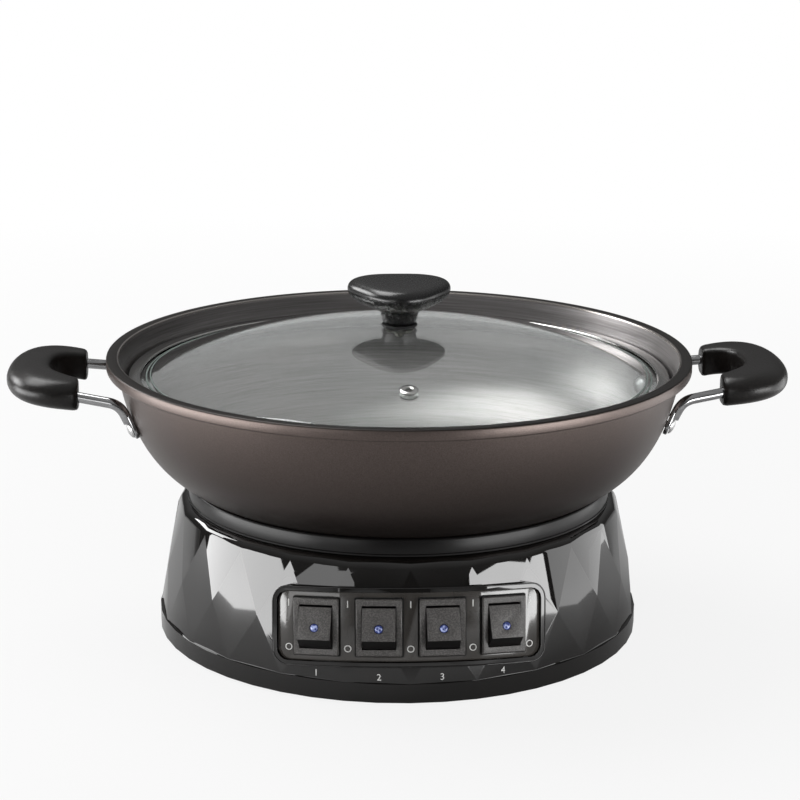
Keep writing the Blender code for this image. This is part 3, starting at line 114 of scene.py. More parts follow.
@dataclass(frozen=True)
class Finish:
    """One material and how its surface was made, with any shade that is painted into its colour.

    A fade is painted shade: two heights in mm and the share of the colour that is left at the lower one, where the
    colour is darkest.
    """

    name: str
    colour: str
    shade: str
    roughness: float
    swing: float = 0.03
    metallic: float = 0.0
    pattern: Pattern = Pattern.PLAIN
    size_mm: float = 1.0
    bump: float = 0.0
    ior: float | None = None
    specular: float = 0.5
    coat: float = 0.0
    coat_roughness: float = 0.05
    transmission: float = 0.0
    glow: float = 0.0
    anisotropic: float = 0.0
    painted_shade_fade: tuple[float, float, float] | None = None

    def build(self) -> bpy.types.Material:
        """Make the material, or give back the one already made.

        Returns:
            The material with its node tree.
        """
        made = bpy.data.materials.get(self.name)
        if made is not None:
            return made
        made = bpy.data.materials.new(self.name)
        made.use_nodes = True
        tree = made.node_tree
        shader = tree.nodes["Principled BSDF"]
        self.set_constants(shader)
        height = self.height(tree)
        fine = add_node(tree, "ValToRGB", {}, {"Fac": height})
        fine.color_ramp.elements[0].position = 0.3
        fine.color_ramp.elements[0].color = linear(self.shade)
        fine.color_ramp.elements[1].position = 0.7
        fine.color_ramp.elements[1].color = linear(self.colour)
        colour = fine.outputs["Color"]
        # Painted shade: the colour is darkened towards the lower height
        if self.painted_shade_fade is not None:
            low, high, share = self.painted_shade_fade
            place = add_node(tree, "TexCoord", {})
            parts = add_node(tree, "SeparateXYZ", {}, {"Vector": place.outputs["Object"]})
            painted_shade = add_node(tree, "MapRange", {"From Min": low * MM, "From Max": high * MM, "To Min": share,
                                               "To Max": 1.0}, {"Value": parts.outputs["Z"]})
            colour = add_node(tree, "VectorMath", {"operation": "SCALE"},
                              {0: colour, "Scale": painted_shade.outputs["Result"]}).outputs["Vector"]
        tree.links.new(colour, shader.inputs["Base Color"])
        rough = add_node(tree, "MapRange", {"To Min": max(self.roughness - self.swing, 0.0),
                                            "To Max": self.roughness + self.swing}, {"Value": height})
        tree.links.new(rough.outputs["Result"], shader.inputs["Roughness"])
        if self.bump > 0:
            relief = add_node(tree, "Bump", {"Strength": 0.6, "Distance": self.bump * MM}, {"Height": height})
            tree.links.new(relief.outputs["Normal"], shader.inputs["Normal"])
        return made

    def set_constants(self, shader: bpy.types.Node) -> None:
        """Set what is the same all over the surface on the shader's own sockets."""
        shader.inputs["Metallic"].default_value = self.metallic
        shader.inputs["Specular IOR Level"].default_value = self.specular
        shader.inputs["Coat Weight"].default_value = self.coat
        shader.inputs["Coat Roughness"].default_value = self.coat_roughness
        shader.inputs["Transmission Weight"].default_value = self.transmission
        shader.inputs["Anisotropic"].default_value = self.anisotropic
        if self.ior is not None:
            shader.inputs["IOR"].default_value = self.ior
        if self.glow > 0:
            shader.inputs["Emission Color"].default_value = linear(self.colour)
            shader.inputs["Emission Strength"].default_value = self.glow

    def height(self, tree: bpy.types.NodeTree) -> bpy.types.NodeSocket:
        """Make the pattern that drives colour, roughness and relief.

        Args:
            tree: the material's node tree.

        Returns:
            An output from 0 to 1.
        """
        place = add_node(tree, "TexCoord", {})
        scale = 1 / (self.size_mm * MM)
        if self.pattern is Pattern.TURNED:
            parts = add_node(tree, "SeparateXYZ", {}, {"Vector": place.outputs["Object"]})
            ground = add_node(tree, "CombineXYZ", {}, {"X": parts.outputs["X"], "Y": parts.outputs["Y"]})
            radius = add_node(tree, "VectorMath", {"operation": "LENGTH"}, {0: ground.outputs["Vector"]})
            around = add_node(tree, "Math", {"operation": "ARCTAN2"},
                              {0: parts.outputs["Y"], 1: parts.outputs["X"]})
            slow = add_node(tree, "Math", {"operation": "MULTIPLY", 1: 2 * MM}, {0: around.outputs["Value"]})
            rings = add_node(tree, "CombineXYZ", {}, {"X": radius.outputs["Value"], "Y": slow.outputs["Value"],
                                                      "Z": parts.outputs["Z"]})
            noise = add_node(tree, "TexNoise", {"Scale": scale, "Detail": 3.0, "Roughness": 0.6},
                             {"Vector": rings.outputs["Vector"]})
            return noise.outputs["Fac"]
        if self.pattern is Pattern.JEWEL:
            # Pale where the lens faces the eye, as a painted highlight, and deep blue towards its rim
            facing = add_node(tree, "LayerWeight", {"Blend": 0.35})
            cut = add_node(tree, "TexVoronoi", {"Scale": scale, "feature": "F1"},
                           {"Vector": place.outputs["Object"]})
            rim = add_node(tree, "MapRange", {"From Min": 0.05, "From Max": 0.4, "To Min": 1.0, "To Max": 0.0},
                           {"Value": facing.outputs["Facing"]})
            return add_node(tree, "Math", {"operation": "MULTIPLY"},
                            {0: rim.outputs["Result"], 1: cut.outputs["Distance"]}).outputs["Value"]
        if self.pattern is Pattern.DRAWN:
            long = add_node(tree, "Mapping", {"Scale": (0.05, 1.0, 1.0)}, {"Vector": place.outputs["Object"]})
            noise = add_node(tree, "TexNoise", {"Scale": scale, "Detail": 2.0},
                             {"Vector": long.outputs["Vector"]})
            return noise.outputs["Fac"]
        if self.pattern is Pattern.GRAIN:
            cells = add_node(tree, "TexVoronoi", {"Scale": scale, "feature": "F1"},
                             {"Vector": place.outputs["Object"]})
            broad = add_node(tree, "TexNoise", {"Scale": scale / 14, "Detail": 2.0},
                             {"Vector": place.outputs["Object"]})
            both = add_node(tree, "Mix", {"Factor": 0.35}, {"A": cells.outputs["Distance"],
                                                            "B": broad.outputs["Fac"]})
            return both.outputs["Result"]
        if self.pattern is Pattern.SPARK:
            noise = add_node(tree, "TexNoise", {"Scale": scale, "Detail": 1.0, "Roughness": 0.5},
                             {"Vector": place.outputs["Object"]})
            return add_node(tree, "MapRange", {"From Min": 0.35, "From Max": 0.72},
                            {"Value": noise.outputs["Fac"]}).outputs["Result"]
        detail = 4.0 if self.pattern is Pattern.SPECKLE else 1.0
        noise = add_node(tree, "TexNoise", {"Scale": scale, "Detail": detail, "Roughness": 0.65},
                         {"Vector": place.outputs["Object"]})
        return noise.outputs["Fac"]


# Steel pressed and hard coated outside: a warm grey with a fine metallic grit, painted darker towards the bottom as
# shade
PAN_OUTSIDE = Finish("graphite_coated_steel", "6a5f5b", "504743", 0.38, 0.05, 0.8, Pattern.SPECKLE, 0.5, 0.01,
                     painted_shade_fade=(80.0, 176.0, 0.16))
# The same steel turned on a lathe inside: thin rings that catch the light
PAN_INSIDE = Finish("turned_steel_interior", "8d8a8a", "706d6c", 0.34, 0.08, 0.9, Pattern.TURNED, 0.7, 0.015,
                    anisotropic=0.4)
# The pan's rim, rolled flat under the same coating but rubbed smoother, and painted darker than the outside as
# shade
PAN_RIM = Finish("rolled_rim_coating", "241f1c", "1a1614", 0.33, 0.04, 0.7, Pattern.SPECKLE, 0.8, 0.005)
# A thin line of pale steel along the rim's inner edge: a painted highlight
PAN_HIGHLIGHT_EDGE = Finish("painted_highlight_rim_edge", "b5b0ac", "8f8a86", 0.24, 0.05, 0.95, Pattern.TURNED, 1.2, 0.003)
# Polished injection-moulded ABS: a black mirror with clean facets
GLOSS_ABS = Finish("polished_black_abs", "0c0a09", "080706", 0.035, 0.012, 0.0, Pattern.PLAIN, 22.0, ior=1.54,
                   coat=0.25, coat_roughness=0.03)
# The collar, moulded in the same plastic and left satin
COLLAR_ABS = Finish("collar_black_abs", "0c0b0b", "090808", 0.3, 0.05, 0.0, Pattern.PLAIN, 25.0, specular=0.22)
# Panel plate in dark acrylic, cast and left semi-gloss: it smears the lamps a little
PANEL_ACRYLIC = Finish("panel_dark_acrylic", "33302d", "292623", 0.17, 0.03, 0.0, Pattern.PLAIN, 20.0, ior=1.6,
                       coat=0.5, coat_roughness=0.08)
# Switch mouldings in spark-eroded nylon: a fine matt grain of 0.3 mm, drawn at 0.6 mm so that it shows
SWITCH_NYLON = Finish("grained_black_nylon", "514f4d", "343231", 0.46, 0.08, 0.0, Pattern.SPARK, 0.62, 0.06)
# The rockers' sides: smooth nylon, painted darker as shade on the faces that turn away from the front
SWITCH_SIDE_SHADE = Finish("painted_shade_rocker_nylon", "0c0b0b", "090808", 0.4, 0.05, 0.0, Pattern.PLAIN, 6.0, specular=0.2)
# Switch jewel: clear styrene over a small lamp, deep blue at its rim and pale in the middle, where the pale is a
# painted highlight
LENS_STYRENE = Finish("clear_lens_styrene", "9ca8d2", "1c2862", 0.04, 0.02, 0.0, Pattern.JEWEL, 1.6, ior=1.57,
                      glow=0.06)
# Bent steel wire under bright chrome
CHROME = Finish("chromed_steel_wire", "a6a6a7", "909091", 0.13, 0.04, 1.0, Pattern.DRAWN, 1.2, 0.004)
# Handle grip in phenolic resin: a dry black-brown with a faint grain
PHENOLIC = Finish("phenolic_grip", "110e0c", "0a0807", 0.34, 0.05, 0.0, Pattern.SPARK, 1.0, 0.02, specular=0.36)
# Steel rivets, turned over by a press: plain bright steel, a little soft
RIVET_STEEL = Finish("rivet_steel", "b8b5b1", "9c9995", 0.27, 0.06, 1.0, Pattern.SPECKLE, 1.5, 0.01)
# Tempered soda-lime glass, drawn clear and smooth
LID_GLASS = Finish("tempered_lid_glass", "fbfdfc", "f6faf9", 0.0, 0.0, 0.0, Pattern.PLAIN, 60.0, ior=1.45,
                   transmission=1.0)
# The glass's edge line, ground matt: a thin grey-green ring
GROUND_GLASS = Finish("ground_glass_edge", "6d7873", "58625e", 0.4, 0.05, 0.0, Pattern.PLAIN, 4.0, ior=1.45)
# Stainless band, rolled and polished: bright, with rings along its length
BAND_STEEL = Finish("polished_stainless_band", "c9c9c7", "b3b3b1", 0.16, 0.05, 1.0, Pattern.TURNED, 0.6, 0.004)
# Knob in phenolic resin, tumbled to a satin
KNOB_PHENOLIC = Finish("satin_black_phenolic", "0e0e0e", "0a0a0a", 0.27, 0.04, 0.0, Pattern.SPECKLE, 0.7, 0.003)
# Silicone and rubber, moulded and dull
RUBBER = Finish("moulded_black_rubber", "1c1c1c", "141414", 0.75, 0.05, 0.0, Pattern.GRAIN, 0.8, 0.02)
# Floor of the base in plain moulded plastic
FLOOR_ABS = Finish("textured_black_abs", "171717", "101010", 0.5, 0.06, 0.0, Pattern.GRAIN, 0.9, 0.03)
# Zinc-plated steel, spangled a little
ZINC = Finish("zinc_plated_steel", "b0afa9", "93928d", 0.36, 0.08, 1.0, Pattern.SPECKLE, 3.0, 0.005)
# Heater sheath, browned by heat
HEATER_STEEL = Finish("browned_heater_sheath", "6b625b", "4a433e", 0.45, 0.08, 0.9, Pattern.SPECKLE, 4.0, 0.01)
# Brass pins, drawn
BRASS = Finish("drawn_brass_pin", "c9b06c", "b49a58", 0.25, 0.05, 1.0, Pattern.DRAWN, 0.8, 0.004)
# Steatite terminal block, fired and matt
STEATITE = Finish("fired_steatite", "e3dac4", "d4c9b0", 0.55, 0.05, 0.0, Pattern.GRAIN, 1.0, 0.02)
# Braided glass sleeve, dyed red
SLEEVE = Finish("red_glass_sleeve", "8f3322", "6f2518", 0.65, 0.05, 0.0, Pattern.GRAIN, 0.6, 0.04)
# Screen-printed marks
PRINT = Finish("screen_printed_white", "c4c4c2", "b4b4b2", 0.5, 0.03, 0.0, Pattern.PLAIN, 3.0)


class Bench:
    """Bpy operators wrapped for work on one object at a time."""

    @staticmethod
    def clear_selection() -> None:
        """Leave edit mode and deselect everything."""
        if bpy.context.object is not None and bpy.context.object.mode != "OBJECT":
            bpy.ops.object.mode_set(mode="OBJECT")
        bpy.ops.object.select_all(action="DESELECT")

    @staticmethod
    def activate(thing: bpy.types.Object) -> None:
        """Make one object the only selected one."""
        Bench.clear_selection()
        thing.select_set(True)
        bpy.context.view_layer.objects.active = thing

    @staticmethod
    def profile(points: Sequence[Point]) -> bpy.types.Object:
        """Draw a line of vertices in the XZ plane, from one point to the next by extrusion.

        Args:
            points: radius and height of each vertex, in metres.

        Returns:
            The new object, left in edit mode with all selected.
        """
        Bench.clear_selection()
        bpy.ops.mesh.primitive_plane_add(size=MM)
        thing = bpy.context.object
        bpy.ops.object.mode_set(mode="EDIT")
        bpy.ops.mesh.select_all(action="SELECT")
        bpy.ops.mesh.merge(type="CENTER")
        bpy.ops.transform.translate(value=(points[0][0], 0, points[0][1]))
        for here, there in zip(points, points[1:]):
            step = (there[0] - here[0], 0, there[1] - here[1])
            bpy.ops.mesh.extrude_region_move(TRANSFORM_OT_translate={"value": step})
        bpy.ops.mesh.select_all(action="SELECT")
        return thing

    @staticmethod
    def turned(points: Sequence[Point], steps: int = 160) -> bpy.types.Object:
        """Spin a profile round Z into a closed body.

        Args:
            points: radius and height of each vertex; it starts and ends on the axis or at the same point.
            steps: how many sides the round body gets.

        Returns:
            The new object, in object mode.
        """
        thing = Bench.profile(points)
        bpy.ops.mesh.spin(steps=steps, angle=tau, center=(0, 0, 0), axis=(0, 0, 1))
        bpy.ops.mesh.select_all(action="SELECT")
        bpy.ops.mesh.remove_doubles(threshold=0.002 * MM)
        bpy.ops.mesh.normals_make_consistent(inside=False)
        bpy.ops.object.mode_set(mode="OBJECT")
        return thing

    @staticmethod
    def face_outwards(thing: bpy.types.Object) -> None:
        """Turn every face of an object outwards."""
        Bench.activate(thing)
        bpy.ops.object.mode_set(mode="EDIT")
        bpy.ops.mesh.select_all(action="SELECT")
        bpy.ops.mesh.normals_make_consistent(inside=False)
        bpy.ops.object.mode_set(mode="OBJECT")

    @staticmethod
    def wire(points: Sequence[Vector], radius: float, resolution: int, closed: bool = False) -> bpy.types.Object:
        """Run a round wire through points.

        Args:
            points: the wire's centre line.
            radius: the wire's radius.
            resolution: how finely it is rounded.
            closed: whether its end joins its start.

        Returns:
            The wire as a mesh, with capped ends unless it is closed.
        """
        Bench.clear_selection()
        bpy.ops.curve.primitive_nurbs_path_add()
        wire = bpy.context.object
        wire.data.splines.clear()
        line = wire.data.splines.new("POLY")
        line.points.add(len(points) - 1)
        for knot, point in zip(line.points, points):
            knot.co = (*point, 1)
        line.use_cyclic_u = closed
        wire.location = (0, 0, 0)
        wire.data.bevel_depth = radius
        wire.data.bevel_resolution = resolution
        wire.data.use_fill_caps = not closed
        bpy.ops.object.convert(target="MESH")
        return bpy.context.object

    @staticmethod
    def modify(thing: bpy.types.Object, kind: str, **settings: object) -> None:
        """Add a modifier with its settings and apply it."""
        Bench.activate(thing)
        modifier = thing.modifiers.new(kind.lower(), kind)
        for key, value in settings.items():
            setattr(modifier, key, value)
        bpy.ops.object.modifier_apply(modifier=modifier.name)

    @staticmethod
    def bevel(thing: bpy.types.Object, width: float, segments: int = 3, angle: float = radians(30)) -> None:
        """Round every edge sharper than an angle."""
        Bench.modify(thing, "BEVEL", width=width, segments=segments, limit_method="ANGLE", angle_limit=angle)

    @staticmethod
    def smooth(thing: bpy.types.Object, angle: float = radians(40)) -> None:
        """Shade smooth, with edges sharper than an angle kept."""
        Bench.activate(thing)
        bpy.ops.object.shade_smooth_by_angle(angle=angle)

    @staticmethod
    def carried_copy(node: str) -> bpy.types.Object:
        """Copy a CAD node's mesh, weld its triangles and dissolve its flat faces.

        Args:
            node: the node's name.

        Returns:
            The copy, in object mode.
        """
        Bench.clear_selection()
        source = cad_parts[node]
        thing = bpy.data.objects.new(node + "_form", source.data.copy())
        bpy.context.scene.collection.objects.link(thing)
        thing.data.materials.clear()
        Bench.activate(thing)
        bpy.ops.mesh.customdata_custom_splitnormals_clear()
        bpy.ops.object.mode_set(mode="EDIT")
        bpy.ops.mesh.select_all(action="SELECT")
        bpy.ops.mesh.remove_doubles(threshold=0.001 * MM)
        bpy.ops.mesh.dissolve_limited(angle_limit=radians(0.5))
        bpy.ops.object.mode_set(mode="OBJECT")
        return thing

    @staticmethod
    def softened(node: str, width: float, segments: int, angle: float = radians(50),
                 shading: float = radians(40)) -> bpy.types.Object:
        """Copy a CAD node's mesh, round its sharp edges and shade it smooth.

        Args:
            node: the node's name.
            width: how wide the rounding is.
            segments: how many steps it has.
            angle: edges sharper than this are rounded.
            shading: edges sharper than this stay crisp afterwards.

        Returns:
            The copy, in object mode.
        """
        thing = Bench.carried_copy(node)
        Bench.bevel(thing, width, segments, angle)
        Bench.smooth(thing, shading)
        return thing

    @staticmethod
    def copy(source: bpy.types.Object, matrix: Matrix) -> bpy.types.Object:
        """Copy an object with its own mesh and put it through a matrix."""
        copy = bpy.data.objects.new(source.name, source.data.copy())
        bpy.context.scene.collection.objects.link(copy)
        Bench.place(copy, matrix)
        return copy

    @staticmethod
    def place(thing: bpy.types.Object, matrix: Matrix) -> None:
        """Put an object through a matrix and leave its place in its mesh."""
        thing.data.transform(matrix)
        thing.data.update()

    @staticmethod
    def joined(things: Sequence[bpy.types.Object]) -> bpy.types.Object:
        """Join several objects into the first."""
        Bench.clear_selection()
        for thing in things:
            thing.select_set(True)
        bpy.context.view_layer.objects.active = things[0]
        bpy.ops.object.join()
        return things[0]

    @staticmethod
    def deliver(thing: bpy.types.Object, name: str, finish: Finish, body: str, nodes: Sequence[str] = (),
                slot: str | None = None) -> bpy.types.Object:
        """Name a finished piece, dress it and let it ride on its body.

        Args:
            thing: the object.
            name: the piece's name.
            finish: its main finish, unless it already has materials.
            body: the CAD body that carries it.
            nodes: the CAD nodes that it stands for.
            slot: the record's material slot; it is not used.

        Returns:
            The piece.
        """
        Bench.activate(thing)
        bpy.ops.object.transform_apply(location=True, rotation=True, scale=True)
        thing.name = name
        thing.data.name = name
        if not thing.data.materials:
            thing.data.materials.append(finish.build())
        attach(thing, body)
        if nodes:
            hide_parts(*nodes)
        log.info("%s: %d faces on %s", name, len(thing.data.polygons), body)
        return thing


def dress(nodes: Sequence[str], finish: Finish) -> None:
    """Give kept CAD nodes a finish in every material slot."""
    for node in nodes:
        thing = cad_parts[node]
        for slot in thing.material_slots:
            slot.material = finish.build()


@dataclass
class Pan:
    """The bowl with its flat rim, and the curve that its handles follow."""

    rim_radius: float = 170 * MM
    rim_height: float = 163.4 * MM
    rim_thickness: float = 6.4 * MM
    wall_radius: float = 163.8 * MM
    bottom_height: float = 78 * MM
    flat_radius: float = 94 * MM
    wall: float = 3 * MM
    curve_shares: tuple[Point, Point] = ((0.474, 0.146), (0.859, 0.266))
    steps: int = 40
    rim_edge: float = 1.1 * MM
    lip_band: float = 1.5 * MM
    near: float = 0.05 * MM

    def outer(self) -> list[Point]:
        """Outer wall from the flat bottom up to the rim."""
        rise = self.rim_height - self.rim_thickness - self.bottom_height
        reach = self.wall_radius - self.flat_radius
        knots = [(self.flat_radius + across * reach, self.bottom_height + up * rise)
                 for across, up in ((0, 0), *self.curve_shares, (1, 1))]
        return [bezier(knots, step / self.steps) for step in range(self.steps + 1)]

    def inner(self) -> list[Point]:
        """The same wall moved inwards by its thickness."""
        outer = self.outer()
        points = []
        for index, (radius, height) in enumerate(outer):
            before, after = outer[max(index - 1, 0)], outer[min(index + 1, len(outer) - 1)]
            along = Vector((after[0] - before[0], after[1] - before[1])).normalized()
            points.append((radius - along.y * self.wall, height + along.x * self.wall))
        return points

    @staticmethod
    def read(points: Sequence[Point], height: float) -> float:
        """Radius of a rising wall at a height."""
        for (r0, z0), (r1, z1) in zip(points, points[1:]):
            if z0 <= height <= z1:
                return r0 + (r1 - r0) * (height - z0) / (z1 - z0)
        return points[-1][0]

    def build(self) -> None:
        """Turn the bowl and its rim, with a coated outside and a lathe-turned inside."""
        low = self.rim_height - self.rim_thickness
        edge = self.rim_edge
        turns = (0, pi / 6, pi / 3, pi / 2)
        roll = [(self.rim_radius - edge * (1 - sin(a)), low + edge * (1 - cos(a))) for a in turns]
        top = [(self.rim_radius - edge * (1 - cos(a)), self.rim_height - edge * (1 - sin(a))) for a in turns]
        lip = [(self.wall_radius - edge * sin(a), self.rim_height - edge * (1 - cos(a)))
               for a in (0, pi / 4, pi / 2)]
        points = [(0, self.bottom_height)] + self.outer() + roll + top + lip
        points += list(reversed(self.inner()[:-1])) + [(0, self.bottom_height + self.wall)]
        bowl = Bench.turned(points, 192)
        for finish in (PAN_OUTSIDE, PAN_RIM, PAN_INSIDE, PAN_HIGHLIGHT_EDGE):
            bowl.data.materials.append(finish.build())
        outside, rim, inside, highlight_edge = range(4)
        for face in bowl.data.polygons:
            radius = Vector(face.center[:2]).length
            towards = face.normal.x * face.center.x + face.normal.y * face.center.y
            face.material_index = outside
            if face.center.z > low - 4 * self.near and radius > self.wall_radius - self.lip_band:
                # A thin pale band along the rim's inner edge: a painted highlight
                if radius < self.wall_radius - self.near:
                    face.material_index = highlight_edge
                # The flat rim takes the darker copy of the coating: painted shade
                elif face.normal.z > 0.3:
                    face.material_index = rim
            elif face.normal.z > 0.0 and (towards < 0 or radius < self.flat_radius):
                face.material_index = inside
        Bench.smooth(bowl, radians(35))
        Bench.deliver(bowl, "pan_bowl", PAN_OUTSIDE, "root", ["wok_bowl"], "pan_steel")


@dataclass
class Handles:
    """The two side handles: bent rod, moulded grip and domed rivets."""

    pan: Pan
    rivet_spread: float = 41.5 * MM
    rivet_height: float = 130 * MM
    rivet_radius: float = 4.8 * MM
    rod_radius: float = 3 * MM
    rod_height: float = 149 * MM
    arc_x: float = 195 * MM
    arc_reach: float = 19.5 * MM
    arc_half: float = 36.8 * MM
    widest_x: float = 205 * MM
    reach: float = 22.2 * MM
    stand_off: float = 0.7 * MM
    leg_foot: float = 5 * MM
    leg_dip: float = 0.9 * MM
    leg_knee: float = 16.5 * MM
    knee_bend: float = 6.5 * MM
    arc_steps: int = 24
    knee_steps: int = 8
    tab_radius: float = 6 * MM
    tab_thickness: float = 2.4 * MM
    tab_lift: float = 1.5 * MM
    tab_taper_share: float = 0.35
    tab_stretch_share: float = 2.0
    tab_edge: float = 0.7 * MM
    grip_height: float = 151.5 * MM
    grip_thickness: float = 17.5 * MM
    grip_drop: float = 3.7 * MM
    drop_from: float = 213 * MM
    arm_end: float = 184 * MM
    arm_outer: float = 44.5 * MM
    arm_inner: float = 27.5 * MM
    outer_bend: Point = (216 * MM, 58 * MM)
    inner_bend: Point = (199 * MM, 23.5 * MM)
    tip_half: float = 32 * MM
    hole_end: float = 202 * MM
    hole_half: float = 14 * MM
    crown: float = 2.2
    squareness: float = 5.5
    head_height: float = 2.2 * MM
    head_out: float = 3.0 * MM
    head_back: float = 0.6 * MM
    shank_radius: float = 2 * MM

    def wall_frame(self, side: int, arm: int) -> Matrix:
        """Frame on the pan's wall at a rivet: X along the wall, Y up it, Z out of it.

        Args:
            side: 1 for the right handle, -1 for the left.
            arm: 1 or -1 for the two arms.

        Returns:
            The frame's matrix.
        """
        outer = self.pan.outer()
        radius = Pan.read(outer, self.rivet_height)
        above = Pan.read(outer, self.rivet_height + self.rivet_radius)
        below = Pan.read(outer, self.rivet_height - self.rivet_radius)
        lean = atan2(above - below, 2 * self.rivet_radius)
        outward = Vector((cos(lean), 0, -sin(lean)))
        upward = Vector((sin(lean), 0, cos(lean)))
        matrix = Matrix((upward.cross(outward), upward, outward)).transposed().to_4x4()
        matrix.translation = Vector((radius, 0, self.rivet_height))
        turn = arm * asin(self.rivet_spread / radius) + (0 if side > 0 else pi)
        return Matrix.Rotation(turn, 4, "Z") @ matrix

    def rod_path(self) -> list[Vector]:
        """Centre line of the right handle's rod."""
        arc = []
        for step in range(self.arc_steps + 1):
            turn = pi / 2 - pi * step / self.arc_steps
            arc.append(Vector((self.arc_x + self.arc_reach * cos(turn), self.arc_half * sin(turn),
                               self.rod_height)))
        legs = []
        for arm, mouth in ((1, arc[0]), (-1, arc[-1])):
            matrix = self.wall_frame(1, arm)
            off = self.rod_radius + self.stand_off
            start = matrix @ Vector((0, self.leg_foot, off - self.leg_dip))
            corner = matrix @ Vector((0, self.leg_knee, off))
            first = corner + (start - corner).normalized() * self.knee_bend
            last = corner + (mouth - corner).normalized() * self.knee_bend
            leg = [start]
            for step in range(self.knee_steps + 1):
                t = step / self.knee_steps
                leg.append(first * (1 - t) ** 2 + corner * 2 * t * (1 - t) + last * t ** 2)
            legs.append(leg)
        return legs[0] + arc + list(reversed(legs[1]))

    def rod(self) -> bpy.types.Object:
        """Rod of the right handle with its two flattened ends."""
        parts = [Bench.wire(self.rod_path(), self.rod_radius, 6)]
        for arm in (1, -1):
            Bench.clear_selection()
            bpy.ops.mesh.primitive_cylinder_add(vertices=40, radius=self.tab_radius, depth=self.tab_thickness)
            tab = bpy.context.object
            for vertex in tab.data.vertices:
                vertex.co.z += self.tab_lift
                if vertex.co.y > 0:
                    vertex.co.x *= 1 - self.tab_taper_share * vertex.co.y / self.tab_radius
                    vertex.co.y *= self.tab_stretch_share
            Bench.bevel(tab, self.tab_edge, 3)
            Bench.place(tab, self.wall_frame(1, arm))
            parts.append(tab)
        rod = Bench.joined(parts)
        Bench.smooth(rod, radians(50))
        return rod

    def grip_station(self, share: float) -> tuple[Vector, Vector, float]:
        """Middle, outward half width and drop of the right grip at a share of its length.

        Args:
            share: 0 at the back arm's end, 0.5 at the outermost point and 1 at the front arm's end.

        Returns:
            The middle, the half width towards the outer edge, and how far the grip drops there.
        """
        t = 1 - abs(2 * share - 1)
        tip = self.widest_x + self.reach
        outer_knots = ((self.arm_end, self.arm_outer), self.outer_bend, (tip, self.tip_half), (tip, 0))
        inner_knots = ((self.arm_end, self.arm_inner), self.inner_bend, (self.hole_end, self.hole_half),
                       (self.hole_end, 0))
        outer = Vector((*bezier(outer_knots, t), 0))
        inner = Vector((*bezier(inner_knots, t), 0))
        if share > 0.5:
            outer.y, inner.y = -outer.y, -inner.y
        middle = (outer + inner) / 2
        fall = min(max((self.drop_from - middle.x) / (self.drop_from - self.arm_end), 0), 1)
        return middle, (outer - inner) / 2, self.grip_drop * fall ** 1.4

    def grip(self) -> bpy.types.Object:
        """Right grip: a bow, crowned and rounded outside, with a crisp edge round its hole."""
        around, along = 40, 44
        Bench.clear_selection()
        bpy.ops.mesh.primitive_circle_add(vertices=around, radius=10 * MM, fill_type="NGON", location=(0, 0, 0))
        grip = bpy.context.object
        bpy.ops.object.mode_set(mode="EDIT")
        bpy.ops.mesh.select_all(action="SELECT")
        for _ in range(along):
            bpy.ops.mesh.extrude_region_move(TRANSFORM_OT_translate={"value": (0, 0, MM)})
        bpy.ops.object.mode_set(mode="OBJECT")
        # Three sections at each end close in, so that the arms end rounded
        ends = {0: 0.84, 1: 0.94, 2: 0.985, along - 2: 0.985, along - 1: 0.94, along: 0.84}
        starts = {0: 0.0, 1: 0.004, 2: 0.012, along - 2: 0.988, along - 1: 0.996, along: 1.0}
        for vertex in grip.data.vertices:
            level = round(vertex.co.z / MM)
            turn = atan2(vertex.co.y, vertex.co.x)
            share = starts.get(level, 0.02 + 0.96 * (level - 3) / (along - 6))
            middle, half, drop = self.grip_station(share)
            power = 2 / (self.crown if cos(turn) > 0 else self.squareness)
            out = copysign(abs(cos(turn)) ** power, cos(turn))
            up = copysign(abs(sin(turn)) ** power, sin(turn))
            size = ends.get(level, 1.0)
            spot = middle + half * (out * size)
            vertex.co = (spot.x, spot.y, self.grip_height - drop + up * size * self.grip_thickness / 2)
        Bench.face_outwards(grip)
        Bench.smooth(grip, radians(55))
        return grip

    def rivet(self) -> bpy.types.Object:
        """Rivet in the wall's frame, with a domed head on both sides."""
        back = -self.pan.wall - self.head_back
        out, head = self.head_out, self.head_height
        dome = [(self.rivet_radius * cos(a), head * sin(a)) for a in (0, pi / 10, pi / 5, 0.3 * pi, 0.4 * pi)]
        points = [(0, back - head)] + [(r, back - z) for r, z in reversed(dome)]
        points += [(self.shank_radius, back), (self.shank_radius, out)] + [(r, out + z) for r, z in dome]
        points += [(0, out + head)]
        rivet = Bench.turned(points, 40)
        Bench.smooth(rivet, radians(50))
        return rivet

    def build(self) -> None:
        """Make both handles."""
        rod, grip, rivet = self.rod(), self.grip(), self.rivet()
        for side, label in ((1, "right"), (-1, "left")):
            turn = Matrix.Rotation(0 if side > 0 else pi, 4, "Z")
            for source, piece, finish, node, slot in (
                    (rod, "rod", CHROME, "handle_rod_", "rod_chrome"),
                    (grip, "grip", PHENOLIC, "handle_grip_", "grip_bakelite")):
                copy = Bench.copy(source, turn)
                Bench.deliver(copy, f"{label}_{piece}", finish, "root", [node + label], slot)
            for arm, where in ((side, "back"), (-side, "front")):
                copy = Bench.copy(rivet, self.wall_frame(side, arm))
                Bench.deliver(copy, f"{label}_rivet_{where}", RIVET_STEEL, "root",
                              [f"handle_rivet_{label}_{where}"], "rivet_steel")
        for source in (rod, grip, rivet):
            bpy.data.objects.remove(source, do_unlink=True)


